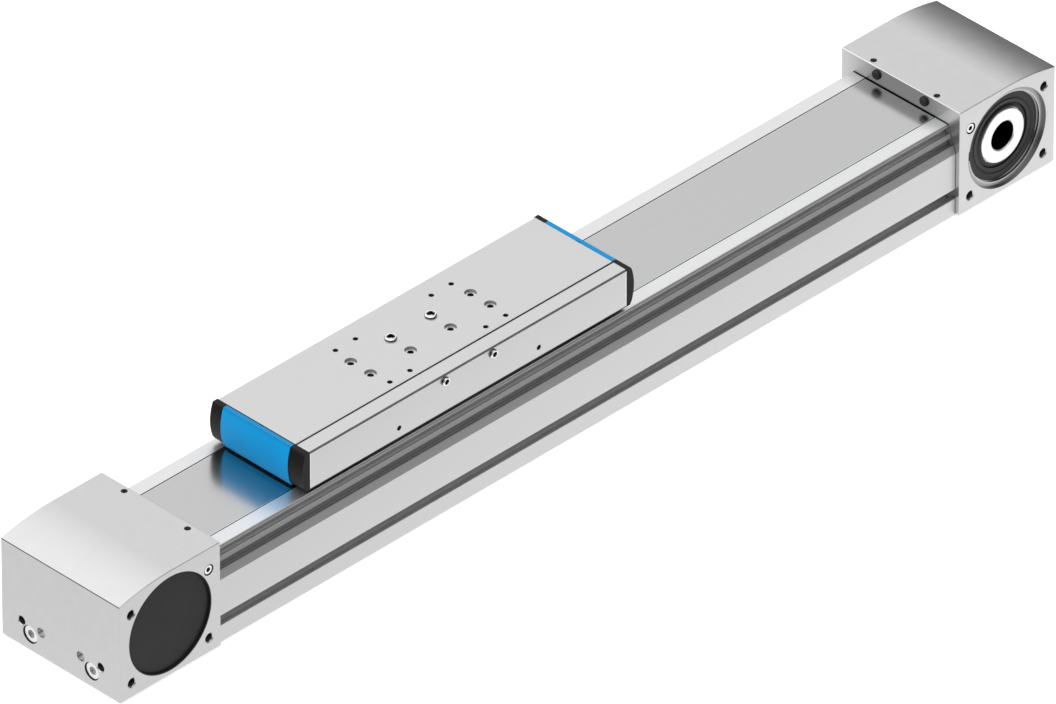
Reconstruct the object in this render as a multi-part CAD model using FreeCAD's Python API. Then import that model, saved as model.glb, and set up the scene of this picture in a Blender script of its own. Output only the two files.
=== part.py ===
import FreeCAD, Part
import math
import os

os.makedirs("parts", exist_ok=True)

# Belt driven linear axis, millimetres, +Z up.
# X runs along the axis with the drive head at +X, the near side faces -Y.
# The origin lies at mid length and mid width on the underside of the profile.

# Profile extrusion
profile_length = 748.0
profile_half_width = 56.1
profile_top_half_width = 48.2
profile_height = 76.8
slope_foot_z = 54.7
base_edge_break = 1.0
ledge_thickness = 10.0
ledge_opening_half_width = 29.0
channel_half_width = 38.0
rail_seat_z = 34.0
side_slot_z = 19.4
base_slot_y = 20.0
slot_mouth = 8.2
slot_mouth_break = 0.35
slot_lip = 4.2
slot_inner_half_width = 7.6
slot_depth = 12.0
slot_floor_half_width = 4.5
top_edge_break_up = 1.2
top_edge_break_in = 0.8
lower_sensor_slot_at = 10.1
lower_sensor_slot_mouth = 5.4
upper_sensor_slot_at = 18.75
upper_sensor_slot_mouth = 4.7
sensor_slot_lip = 1.4
sensor_slot_undercut = 0.9
sensor_slot_depth = 5.2
sensor_slot_floor_bevel = 1.0
slot_shoulder = 2.0
tie_core_spare = 9.0

# Heads
head_length = 99.0
head_width = 120.0
head_height = 89.6
head_lift = 2.0
head_nose_drop = 6.7
head_edge_break = 0.4
shaft_height = 44.2
flange_hole_spacing_x = 76.2
flange_hole_spacing_z = 59.0
flange_hole_low = 12.2
flange_hole_core_radius = 3.4
flange_hole_depth = 16.0
flange_hole_mouth_radius = 4.2
cap_seat_radius = 40.4
cap_seat_depth = 2.5
cap_rim_depth = 0.2
cap_rim_width = 0.8
cap_dish_depth = 1.9
cap_dish_slope = 0.3
strip_slit_half_width = 45.5
strip_slit_depth = 12.0
strip_slit_rise = 1.1
set_screw_inset = 4.7
set_screw_y = 32.0
set_screw_radius = 2.5
set_screw_length = 8.0
pad_height = 2.2
buffer_y = 24.0
buffer_height = 83.2
buffer_radius = 4.0
buffer_socket_depth = 6.0
buffer_reach = 2.2
buffer_tip_break = 0.8
plug_radius = 3.5
plug_mouth_radius = 4.5
plug_depth = 8.0
plug_recess = 0.5
plug_duct_radius = 1.5
end_hole_y = 40.0
end_hole_height = 21.1
end_hole_radius = 3.4
end_hole_mouth_radius = 4.0
end_hole_depth = 16.0
dowel_hole_y = 20.0
dowel_hole_height = 20.5
dowel_hole_radius = 4.0
dowel_hole_depth = 3.0
tie_screw_wall = 3.8
tie_screw_height = 13.3
tie_screw_radius = 4.0
tie_screw_head_radius = 6.5
tie_screw_head_height = 8.0
tie_screw_bite = 21.0
tie_counterbore_radius = 7.25
tie_counterbore_depth = 9.0

# Bearings, hubs and pulleys
bearing_outer_radius = 37.5
bearing_bore_radius = 22.5
bearing_width = 16.0
bearing_outer_ring_wall = 3.3
bearing_inner_ring_wall = 3.5
bearing_seal_thickness = 1.2
bearing_seal_seat = 1.5
seal_groove_half_width = 1.0
seal_groove_floor_half_width = 0.4
seal_groove_depth = 0.5
seal_lip_drop = 0.4
inner_ring_land = 1.0
cage_inset = 2.0
bearing_depth = 5.0
retaining_ring_thickness = 2.3
retaining_ring_outer_radius = 39.4
retaining_ring_inner_radius = 36.3
retaining_ring_gap = 8.0
retaining_ring_eye_radius = 0.8
hub_bore_radius = 11.5
hub_bore_chamfer = 1.0
hub_nose_break = 0.5
hub_shoulder_drop = 1.0
hub_face_depth = 4.1
hub_nose_radius = 22.0
hub_nose_length = 1.2
hub_body_radius = 19.0
pulley_teeth = 33
belt_pitch = 5.0
belt_width = 40.0
belt_land_offset = 0.57
belt_back = 1.7
belt_tooth_height = 2.1
belt_tooth_root_width = 3.1
belt_tooth_tip_width = 2.0
toothed_run_past_wrap = 25.0
pulley_flange_thickness = 1.6
pulley_flange_rise = 0.6

# Cover strip
strip_half_width = 34.7
strip_thickness = 0.5
strip_edge_gap = 0.7
strip_end_insert = 10.0
strip_lift = 1.5
strip_ramp_on_flange = 4.0
strip_foot_inside_slide = 8.6
shoe_end_inset = 1.0
magnet_y = 32.0
magnet_width = 4.0
magnet_depth = 1.5

# Guide
rail_width = 20.0
rail_height = 17.5
rail_end_gap = 2.0
rail_groove_depth = 2.2
rail_groove_low = 9.5
rail_groove_floor_low = 7.5
rail_groove_floor_high = 5.5
rail_groove_high = 3.5
rail_top_break = 1.0
rail_screw_pitch = 60.0
rail_screw_radius = 2.5
rail_screw_head_radius = 4.25
rail_screw_head_height = 5.0
rail_screw_sink = 8.0
rail_screw_length = 17.0
rail_hole_radius = 3.0
rail_counterbore_radius = 4.75
block_width = 44.0
block_length = 70.0
block_height = 28.0
block_foot_gap = 2.2
block_shoulder_drop = 4.0
block_shoulder_run = 2.0
block_inset = 24.0
block_end_plate = 5.0
end_plate_inset = 0.6
block_screw_half_span = 17.0
block_screw_y = 16.0
block_screw_radius = 2.5
block_screw_head_radius = 4.25
block_screw_head_height = 3.0
block_screw_length = 11.0

# Slide
slide_centre_x = -115.5
slide_length = 317.2
slide_near_y = -48.9
slide_far_y = 44.6
slide_height = 36.0
slide_skirt_gap = 3.9
slide_joint_y = -35.0
slide_joint_groove = 1.3
slide_edge_break = 1.0
slide_plate_thickness = 23.3
slide_wall_inner_y = 36.5
base_plate_thickness = 5.5
base_plate_overhang = 1.0
base_plate_half_width = 27.0
neck_half_length = 45.0
strip_ramp_room = 62.6
base_flange_half_width = 42.0
base_flange_gap = 2.2
base_flange_thickness = 5.5
base_screw_y = 38.8
base_screw_radius = 2.0
base_screw_head_radius = 3.1
base_screw_head_height = 2.4
base_screw_length = 14.0
base_screw_inner_x = 27.0
base_screw_inset = 16.0
access_hole_radius = 5.0
m6_core_radius = 2.5
m6_depth = 14.0
sleeve_seat_radius = 4.5
sleeve_seat_depth = 2.1
top_pattern_outer_x = 60.0
top_pattern_inner_x = 20.0
top_pattern_y = 10.0
m5_core_radius = 2.1
m5_depth = 10.0
top_small_outer_x = 58.0
top_small_inner_x = 38.0
top_small_y = 27.5
sleeve_bore_radius = 3.25
sleeve_rise = 1.9
sleeve_bevel = 0.5
side_sleeve_x = 24.0
side_sleeve_drop = 5.5
side_sleeve_radius = 3.5
side_sleeve_bore_radius = 2.2
side_sleeve_seat_depth = 1.6
side_sleeve_rise = 2.0
side_sleeve_core_radius = 1.65
side_hole_x = 70.0
side_hole_drop = 23.3
side_hole_depth = 9.0

# Belt clamps
clamp_gap = 2.0
clamp_length = 25.0
clamp_half_width = 27.5
clamp_plate_thickness = 4.5
clamp_screw_y = 24.0
clamp_screw_radius = 2.0
clamp_screw_head_radius = 3.2
clamp_screw_head_height = 2.6
clamp_screw_length = 12.0
clamp_screw_inset = 7.0

# Slide end caps
cap_top_thickness = 4.3
cap_edge_thickness = 5.0
cap_belly = 7.6
cap_foot_thickness = 3.6
cap_foot_rise = 2.8
cap_edge_drop = 1.0
cap_back_plate = 1.6
cap_plate_reach = 4.0
cap_foot_flare = 0.3
blue_half_width = 34.0
blue_gap = 2.0
blue_wall = 2.2
blue_face_wall = 0.9
notch_width = 5.0
notch_depth = 1.0
wiper_thickness = 1.4
wiper_height = 8.0
wiper_half_width = 31.0
end_screw_y = 20.0
end_screw_drop = 11.8
end_screw_radius = 2.0
end_screw_head_radius = 3.5
end_screw_head_height = 1.8
end_screw_length = 12.0

# Clearances
seat_clearance = 0.02
running_gap = 0.3
strip_gap = 0.3
mesh_gap = 0.12
mesh_side_gap = 0.4
cap_fit = 0.2
chamber_side_gap = 2.0
chamber_top_gap = 1.4
chamber_round_gap = 1.3
screw_hole_gap = 0.4
thread_gap = 0.05

# Places worked out from the sizes above
half_profile = profile_length / 2
half_length = half_profile + head_length
shaft_x = half_profile + head_length / 2
shaft_z = head_lift + shaft_height
head_top_z = head_lift + head_height
side_face_y = head_width / 2
pitch_radius = pulley_teeth * belt_pitch / (2 * math.pi)
land_radius = pitch_radius - belt_land_offset
back_radius = land_radius + belt_back
tooth_tip_radius = land_radius - belt_tooth_height
belt_half_width = belt_width / 2
chamber_half_width = belt_half_width + chamber_side_gap
chamber_radius = back_radius + chamber_round_gap
strip_z = profile_height - strip_thickness
rail_top_z = rail_seat_z + rail_height
rail_length = profile_length - 2 * rail_end_gap
block_top_z = rail_seat_z + block_height
base_plate_z = block_top_z + base_plate_thickness
half_slide = slide_length / 2
base_flange_half_length = half_slide - strip_ramp_room
clamp_start = base_flange_half_length + clamp_gap
base_plate_half_length = clamp_start + clamp_length + base_plate_overhang
block_station = base_flange_half_length - block_inset
base_screw_outer_x = base_flange_half_length - base_screw_inset
base_flange_z = profile_height + base_flange_gap
flange_top_z = base_flange_z + base_flange_thickness
belt_land_z = shaft_z + land_radius
belt_back_z = shaft_z + back_radius
slide_top_z = profile_height + slide_height
slide_skirt_z = profile_height + slide_skirt_gap
slide_plate_z = slide_top_z - slide_plate_thickness
side_sleeve_z = slide_top_z - side_sleeve_drop
side_hole_z = slide_top_z - side_hole_drop
end_screw_z = slide_top_z - end_screw_drop
blue_bottom_z = profile_height + blue_gap
strip_raised_z = flange_top_z + strip_lift
strip_ramp_top = base_flange_half_length - strip_ramp_on_flange
strip_ramp_foot = half_slide - strip_foot_inside_slide
bearing_face_y = side_face_y - bearing_depth
bearing_inner_y = bearing_face_y - bearing_width
hub_half_length = side_face_y - hub_face_depth
plug_x = flange_hole_spacing_x / 2
tie_z = head_lift + tie_screw_height
tie_screw_y = bearing_inner_y - tie_screw_radius - tie_screw_wall
tie_screw_length = head_length - tie_counterbore_depth + tie_screw_bite
tie_core_depth = tie_screw_bite + tie_core_spare

X_AXIS = FreeCAD.Vector(1, 0, 0)
Y_AXIS = FreeCAD.Vector(0, 1, 0)
Z_AXIS = FreeCAD.Vector(0, 0, 1)
ORIGIN = FreeCAD.Vector(0, 0, 0)


# Shape helpers
def vec(x, y, z):
    return FreeCAD.Vector(x, y, z)


def block(x0, x1, y0, y1, z0, z1):
    """Box between two corners."""
    return Part.makeBox(x1 - x0, y1 - y0, z1 - z0, vec(x0, y0, z0))


def rod(radius, start, direction, length):
    """Cylinder from a point along a direction."""
    return Part.makeCylinder(radius, length, start, direction)


def closed_face(points):
    """Flat face inside a closed polygon."""
    return Part.Face(Part.makePolygon(points + [points[0]]))


def prism_along_x(outline, x0, x1):
    """Outline of (y, z) points, extruded from x0 to x1."""
    return closed_face([vec(x0, y, z) for y, z in outline]).extrude(vec(x1 - x0, 0, 0))


def prism_along_y(outline, y0, y1):
    """Outline of (x, z) points, extruded from y0 to y1."""
    return closed_face([vec(x, y0, z) for x, z in outline]).extrude(vec(0, y1 - y0, 0))


def turned_about_y(outline, x, z):
    """Outline of (radius, y) points, turned about the line along Y through (x, z)."""
    face = closed_face([vec(x + radius, y, z) for radius, y in outline])
    return face.revolve(vec(x, 0, z), Y_AXIS, 360)


def ring_about_y(inner, outer, y0, y1, x=0.0, z=0.0):
    """Plain ring about a line along Y."""
    return turned_about_y([(inner, y0), (outer, y0), (outer, y1), (inner, y1)], x, z)


def mirrored_in_x(shape):
    return shape.mirror(ORIGIN, X_AXIS)


def mirrored_in_y(shape):
    return shape.mirror(ORIGIN, Y_AXIS)


def cut_all(shape, tools):
    return shape.cut(list(tools))


def chamfer_edges(shape, size, chosen):
    """Chamfer the straight edges that the test picks."""
    edges = [edge for edge in shape.Edges if chosen(edge)]
    return shape.makeChamfer(size, edges)


def hexagon(across_flats, start, direction, depth):
    """Hexagonal socket, from a point along a direction."""
    corner = across_flats / math.sqrt(3)
    turn = FreeCAD.Rotation(Z_AXIS, direction)
    corners = []
    for k in range(6):
        angle = math.radians(60 * k)
        flat = vec(corner * math.cos(angle), corner * math.sin(angle), 0)
        corners.append(start + turn.multVec(flat))
    return closed_face(corners).extrude(direction * depth)


def socket_screw(tip, direction, length, radius, head_radius, head_height, socket_share=0.55):
    """Socket head screw from its tip along a direction, with the head beyond the length."""
    seat = tip + direction * length
    top = seat + direction * head_height
    screw = rod(radius, tip, direction, length).fuse(rod(head_radius, seat, direction, head_height))
    socket_depth = head_height * socket_share
    return screw.cut(hexagon(head_radius * 0.92, top - direction * socket_depth, direction, socket_depth))


def save(name, *solids):
    shape = solids[0] if len(solids) == 1 else Part.makeCompound(list(solids))
    shape.exportStep("parts/" + name + ".step")


# Belt path
# The distance along the belt starts at the drive pulley's upper tangent point and runs
# round the drive pulley, back along the return run, round the idler and along the upper run.
wrap_length = math.pi * pitch_radius
run_length = 2 * shaft_x


def belt_frame(distance):
    """Point on the pitch line, with the unit vector from there towards the toothed side."""
    if distance < 0:
        return vec(shaft_x + distance, 0, shaft_z + pitch_radius), vec(0, 0, -1)
    if distance < wrap_length:
        angle = distance / pitch_radius
        outward = vec(math.sin(angle), 0, math.cos(angle))
        return vec(shaft_x, 0, shaft_z) + outward * pitch_radius, -outward
    if distance < wrap_length + run_length:
        along = distance - wrap_length
        return vec(shaft_x - along, 0, shaft_z - pitch_radius), vec(0, 0, 1)
    if distance < 2 * wrap_length + run_length:
        angle = (distance - wrap_length - run_length) / pitch_radius
        outward = vec(-math.sin(angle), 0, -math.cos(angle))
        return vec(-shaft_x, 0, shaft_z) + outward * pitch_radius, -outward
    along = distance - 2 * wrap_length - run_length
    return vec(-shaft_x + along, 0, shaft_z + pitch_radius), vec(0, 0, -1)


belt_start = slide_centre_x + clamp_start - shaft_x
belt_end = 2 * wrap_length + run_length + (slide_centre_x - clamp_start + shaft_x)
idler_top_distance = 2 * wrap_length + run_length


def near_pulley_or_clamp(distance):
    """Teeth are drawn at the pulleys and in the clamps, and the long runs between are plain."""
    stretches = (
        (belt_start, belt_start + clamp_length),
        (-toothed_run_past_wrap, wrap_length + toothed_run_past_wrap),
        (wrap_length + run_length - toothed_run_past_wrap, idler_top_distance + toothed_run_past_wrap),
        (belt_end - clamp_length, belt_end),
    )
    margin = belt_tooth_root_width / 2 + 2 * mesh_gap
    return any(low + margin <= distance <= high - margin for low, high in stretches)


def tooth_distances(low, high):
    """Whole pitches between two distances along the belt."""
    first = math.ceil(low / belt_pitch)
    last = math.floor(high / belt_pitch)
    return [k * belt_pitch for k in range(first, last + 1)]


def make_belt():
    """Open ended belt: a smooth back and an inner line with trapezoidal teeth."""
    inner = []
    start_point, start_in = belt_frame(belt_start)
    end_point, end_in = belt_frame(belt_end)
    back_offset = land_radius + belt_back - pitch_radius
    inner.append(start_point + start_in * belt_land_offset)
    bends = (0.0, wrap_length, wrap_length + run_length, idler_top_distance)
    stations = [(d, "tooth") for d in tooth_distances(belt_start, belt_end) if near_pulley_or_clamp(d)]
    teeth = [d for d, kind in stations]
    clear_of_teeth = belt_tooth_root_width / 2 + running_gap
    for bend in bends:
        if all(abs(bend - d) > clear_of_teeth for d in teeth):
            stations.append((bend, "bend"))
    for distance, kind in sorted(stations):
        point, toward_teeth = belt_frame(distance)
        land = point + toward_teeth * belt_land_offset
        if kind == "bend":
            inner.append(land)
            continue
        tip = land + toward_teeth * belt_tooth_height
        along = vec(-toward_teeth.z, 0, toward_teeth.x)
        half_root = along * (belt_tooth_root_width / 2)
        half_tip = along * (belt_tooth_tip_width / 2)
        inner += [land - half_root, tip - half_tip, tip + half_tip, land + half_root]
    inner.append(end_point + end_in * belt_land_offset)
    y = vec(0, -belt_half_width, 0)
    edges = [Part.makePolygon([point + y for point in inner]).Edges]
    back_start = start_point - start_in * back_offset
    back_end = end_point - end_in * back_offset
    idler_top = vec(-shaft_x, 0, shaft_z + back_radius)
    idler_side = vec(-shaft_x - back_radius, 0, shaft_z)
    idler_low = vec(-shaft_x, 0, shaft_z - back_radius)
    drive_low = vec(shaft_x, 0, shaft_z - back_radius)
    drive_side = vec(shaft_x + back_radius, 0, shaft_z)
    drive_top = vec(shaft_x, 0, shaft_z + back_radius)
    back = [
        Part.LineSegment(inner[-1] + y, back_end + y),
        Part.LineSegment(back_end + y, idler_top + y),
        Part.Arc(idler_top + y, idler_side + y, idler_low + y),
        Part.LineSegment(idler_low + y, drive_low + y),
        Part.Arc(drive_low + y, drive_side + y, drive_top + y),
        Part.LineSegment(drive_top + y, back_start + y),
        Part.LineSegment(back_start + y, inner[0] + y),
    ]
    edges.append([curve.toShape() for curve in back])
    wire = Part.Wire([edge for group in edges for edge in group])
    return Part.Face(wire).extrude(vec(0, belt_width, 0))


def make_pulley(centre_x, phase):
    """Toothed ring with side flanges, its first tooth space at the phase angle from +Z."""
    step = 2 * math.pi / pulley_teeth
    tip_radius = land_radius - mesh_gap
    root_radius = tooth_tip_radius - mesh_gap
    half_mouth = (belt_tooth_root_width / 2 + mesh_side_gap) / tip_radius
    half_floor = (belt_tooth_tip_width / 2 + mesh_side_gap) / root_radius
    outline = []
    for k in range(pulley_teeth):
        middle = phase + k * step
        corners = (
            (tip_radius, middle - half_mouth),
            (root_radius, middle - half_floor),
            (root_radius, middle + half_floor),
            (tip_radius, middle + half_mouth),
        )
        for radius, angle in corners:
            outline.append((centre_x + radius * math.sin(angle), shaft_z + radius * math.cos(angle)))
    gap = chamber_side_gap / 4
    ring = prism_along_y(outline, -belt_half_width - gap, belt_half_width + gap)
    flange_radius = back_radius + pulley_flange_rise
    for side in (-1, 1):
        y0 = side * (belt_half_width + gap)
        disc = rod(flange_radius, vec(centre_x, y0, shaft_z), Y_AXIS * side, pulley_flange_thickness - gap)
        ring = ring.fuse(disc)
    reach = belt_half_width + pulley_flange_thickness + 1
    bore = rod(hub_body_radius + seat_clearance, vec(centre_x, -reach, shaft_z), Y_AXIS, 2 * reach)
    return ring.cut(bore)


def make_hub(centre_x):
    """Hollow shaft: bearing journals at both ends, shoulders between them and the pulley."""
    shoulder_y = bearing_inner_y
    pulley_y = belt_half_width + pulley_flange_thickness
    shoulder_radius = bearing_bore_radius + bearing_inner_ring_wall - hub_shoulder_drop
    half = [
        (hub_bore_radius, hub_half_length - hub_bore_chamfer),
        (hub_bore_radius + hub_bore_chamfer, hub_half_length),
        (hub_nose_radius - hub_nose_break, hub_half_length),
        (hub_nose_radius, hub_half_length - hub_nose_break),
        (hub_nose_radius, bearing_face_y - hub_nose_length),
        (bearing_bore_radius - seat_clearance, bearing_face_y - hub_nose_length),
        (bearing_bore_radius - seat_clearance, shoulder_y),
        (shoulder_radius, shoulder_y),
        (shoulder_radius, pulley_y),
        (hub_body_radius, pulley_y),
    ]
    lower = [(radius, -y) for radius, y in reversed(half)]
    return turned_about_y(half + lower, centre_x, shaft_z)


# Cover strip path
strip_rise = strip_raised_z - strip_z
ramp_run = strip_ramp_foot - strip_ramp_top
ramp_radius = (ramp_run ** 2 + strip_rise ** 2) / (4 * strip_rise)


def ramp_curves(x_sign, offset):
    """Crest and foot arcs of one ramp, for a line above the strip's underside by offset."""
    crest_centre = vec(slide_centre_x + x_sign * strip_ramp_top, 0, strip_raised_z - ramp_radius)
    foot_centre = vec(slide_centre_x + x_sign * strip_ramp_foot, 0, strip_z + ramp_radius)
    half_angle = math.atan2(ramp_run / 2, ramp_radius - strip_rise / 2)
    crest_radius = ramp_radius + offset
    foot_radius = ramp_radius - offset

    def crest(angle):
        return crest_centre + vec(x_sign * math.sin(angle), 0, math.cos(angle)) * crest_radius

    def foot(angle):
        return foot_centre + vec(-x_sign * math.sin(angle), 0, -math.cos(angle)) * foot_radius

    return crest, foot, half_angle


def strip_line(offset):
    """Edges of the strip's line from the left head to the right head."""
    end_x = half_profile + strip_end_insert
    lift = vec(0, 0, offset)
    curves = []
    here = vec(-end_x, 0, strip_z) + lift
    for x_sign in (-1, 1):
        crest, foot, half_angle = ramp_curves(x_sign, offset)
        angles = (0.0, half_angle / 2, half_angle)
        foot_points = [foot(angle) for angle in angles]
        crest_points = [crest(angle) for angle in reversed(angles)]
        if x_sign == 1:
            foot_points, crest_points = crest_points[::-1], foot_points[::-1]
        curves.append(Part.LineSegment(here, foot_points[0]))
        curves.append(Part.Arc(*foot_points))
        curves.append(Part.Arc(*crest_points))
        here = crest_points[-1]
    end = vec(end_x, 0, strip_z) + lift
    curves.append(Part.LineSegment(here, end))
    return curves


def make_cover_strip():
    """Thin steel band, flush with the profile and lifted over the carriage base."""
    shift = vec(0, -strip_half_width, 0)
    lower = strip_line(0.0)
    upper = strip_line(strip_thickness)
    end_x = half_profile + strip_end_insert
    rise = vec(0, 0, strip_thickness)
    ends = [
        Part.LineSegment(vec(end_x, 0, strip_z), vec(end_x, 0, strip_z) + rise),
        Part.LineSegment(vec(-end_x, 0, strip_z), vec(-end_x, 0, strip_z) + rise),
    ]
    edges = [curve.toShape() for curve in lower + upper + ends]
    wire = Part.Wire(Part.__sortEdges__(edges))
    wire.translate(shift)
    return Part.Face(wire).extrude(vec(0, 2 * strip_half_width, 0))


# Profile extrusion
slope_height = profile_height - slope_foot_z
slope_run = profile_half_width - profile_top_half_width
slope_length = math.hypot(slope_height, slope_run)
slope_up = (-slope_run / slope_length, slope_height / slope_length)
slope_in = (-slope_height / slope_length, -slope_run / slope_length)


def on_slope(distance, depth=0.0):
    """(y, z) point up the slanted side and into it."""
    y = profile_half_width + distance * slope_up[0] + depth * slope_in[0]
    z = slope_foot_z + distance * slope_up[1] + depth * slope_in[1]
    return (y, z)


def sensor_slot(centre, mouth):
    """Undercut slot in the slanted side, from its lower lip to its upper lip."""
    low = centre - mouth / 2
    high = centre + mouth / 2
    return [
        on_slope(low),
        on_slope(low, sensor_slot_lip),
        on_slope(low - sensor_slot_undercut, sensor_slot_lip),
        on_slope(low - sensor_slot_undercut, sensor_slot_depth - sensor_slot_floor_bevel),
        on_slope(low, sensor_slot_depth),
        on_slope(high, sensor_slot_depth),
        on_slope(high + sensor_slot_undercut, sensor_slot_depth - sensor_slot_floor_bevel),
        on_slope(high + sensor_slot_undercut, sensor_slot_lip),
        on_slope(high, sensor_slot_lip),
        on_slope(high),
    ]


def t_slot():
    """T-slot outline as (across, depth) points, from one side of the mouth to the other."""
    half_mouth = slot_mouth / 2
    half = [
        (half_mouth + slot_mouth_break, 0),
        (half_mouth, slot_mouth_break),
        (half_mouth, slot_lip),
        (slot_inner_half_width, slot_lip),
        (slot_inner_half_width, slot_lip + slot_shoulder),
        (slot_floor_half_width, slot_depth),
    ]
    return [(-across, depth) for across, depth in half] + half[::-1]


def profile_half_outline():
    """Right half of the section, from the base's middle to the channel floor's middle."""
    base_slot = [(base_slot_y + across, depth) for across, depth in t_slot()]
    side_slot = [(profile_half_width - depth, side_slot_z + across) for across, depth in t_slot()]
    ledge_z = strip_z - ledge_thickness
    magnet_in = magnet_y - magnet_width / 2
    magnet_out = magnet_y + magnet_width / 2
    rebate = strip_half_width + strip_edge_gap
    outline = base_slot
    outline += [(profile_half_width - base_edge_break, 0), (profile_half_width, base_edge_break)]
    outline += side_slot
    outline += [on_slope(0)]
    outline += sensor_slot(lower_sensor_slot_at, lower_sensor_slot_mouth)
    outline += sensor_slot(upper_sensor_slot_at, upper_sensor_slot_mouth)
    outline += [on_slope(slope_length - top_edge_break_up)]
    outline += [(profile_top_half_width - top_edge_break_in, profile_height)]
    outline += [(rebate, profile_height), (rebate, strip_z)]
    outline += [(magnet_out, strip_z), (magnet_out, strip_z - magnet_depth)]
    outline += [(magnet_in, strip_z - magnet_depth), (magnet_in, strip_z)]
    outline += [(ledge_opening_half_width, strip_z), (ledge_opening_half_width, ledge_z)]
    outline += [(channel_half_width, ledge_z), (channel_half_width, rail_seat_z)]
    return outline


def make_profile():
    """Extruded section with the return chamber, and threaded cores for the tie screws."""
    half = profile_half_outline()
    body = prism_along_x(half + [(-y, z) for y, z in reversed(half)], -half_profile, half_profile)
    chamber_low = shaft_z - back_radius - chamber_side_gap
    chamber_high = shaft_z - tooth_tip_radius + chamber_top_gap
    body = body.cut(block(-half_profile - 1, half_profile + 1, -chamber_half_width, chamber_half_width,
                          chamber_low, chamber_high))
    cores = []
    for y in (-tie_screw_y, tie_screw_y):
        cores.append(rod(tie_screw_radius, vec(-half_profile - 1, y, tie_z), X_AXIS, tie_core_depth + 1))
        cores.append(rod(tie_screw_radius, vec(half_profile + 1, y, tie_z), -X_AXIS, tie_core_depth + 1))
    for x in rail_screw_stations():
        cores.append(rod(rail_screw_radius + thread_gap, vec(x, 0, rail_seat_z), -Z_AXIS, rail_screw_bite()))
    return cut_all(body, cores)


def make_magnetic_strips():
    low = strip_z - magnet_depth
    edge = magnet_width / 2
    near = block(-half_profile, half_profile, -magnet_y - edge, -magnet_y + edge, low, strip_z)
    return near, mirrored_in_y(near)


# Heads, modelled at +X and mirrored for the idler end
def head_outline():
    """Side view of the head: flat top to the shaft, then an arc falling to the nose."""
    nose_run = half_length - shaft_x
    nose_radius = (nose_run ** 2 + head_nose_drop ** 2) / (2 * head_nose_drop)
    mid_run = nose_run / 2
    mid_drop = nose_radius - math.sqrt(nose_radius ** 2 - mid_run ** 2)
    y = -side_face_y
    inner_low = vec(half_profile, y, head_lift)
    inner_top = vec(half_profile, y, head_top_z)
    crown = vec(shaft_x, y, head_top_z)
    middle = vec(shaft_x + mid_run, y, head_top_z - mid_drop)
    nose_top = vec(half_length, y, head_top_z - head_nose_drop)
    nose_low = vec(half_length, y, head_lift)
    curves = [
        Part.LineSegment(inner_low, inner_top),
        Part.LineSegment(inner_top, crown),
        Part.Arc(crown, middle, nose_top),
        Part.LineSegment(nose_top, nose_low),
        Part.LineSegment(nose_low, inner_low),
    ]
    return Part.Wire([curve.toShape() for curve in curves])


def side_hole(x, z, core_radius, depth, mouth_radius, side):
    """Threaded hole in a side face with a chamfered mouth."""
    face = vec(x, side * side_face_y, z)
    inward = Y_AXIS * -side
    mouth_depth = mouth_radius - core_radius
    core = rod(core_radius, face, inward, depth)
    mouth = Part.makeCone(mouth_radius, core_radius, mouth_depth, face, inward)
    return core.fuse(mouth)


def end_hole(y, z, core_radius, depth, mouth_radius):
    """Threaded hole in the end face with a chamfered mouth."""
    face = vec(half_length, y, z)
    mouth_depth = mouth_radius - core_radius
    core = rod(core_radius, face, -X_AXIS, depth)
    mouth = Part.makeCone(mouth_radius, core_radius, mouth_depth, face, -X_AXIS)
    return core.fuse(mouth)


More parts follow.
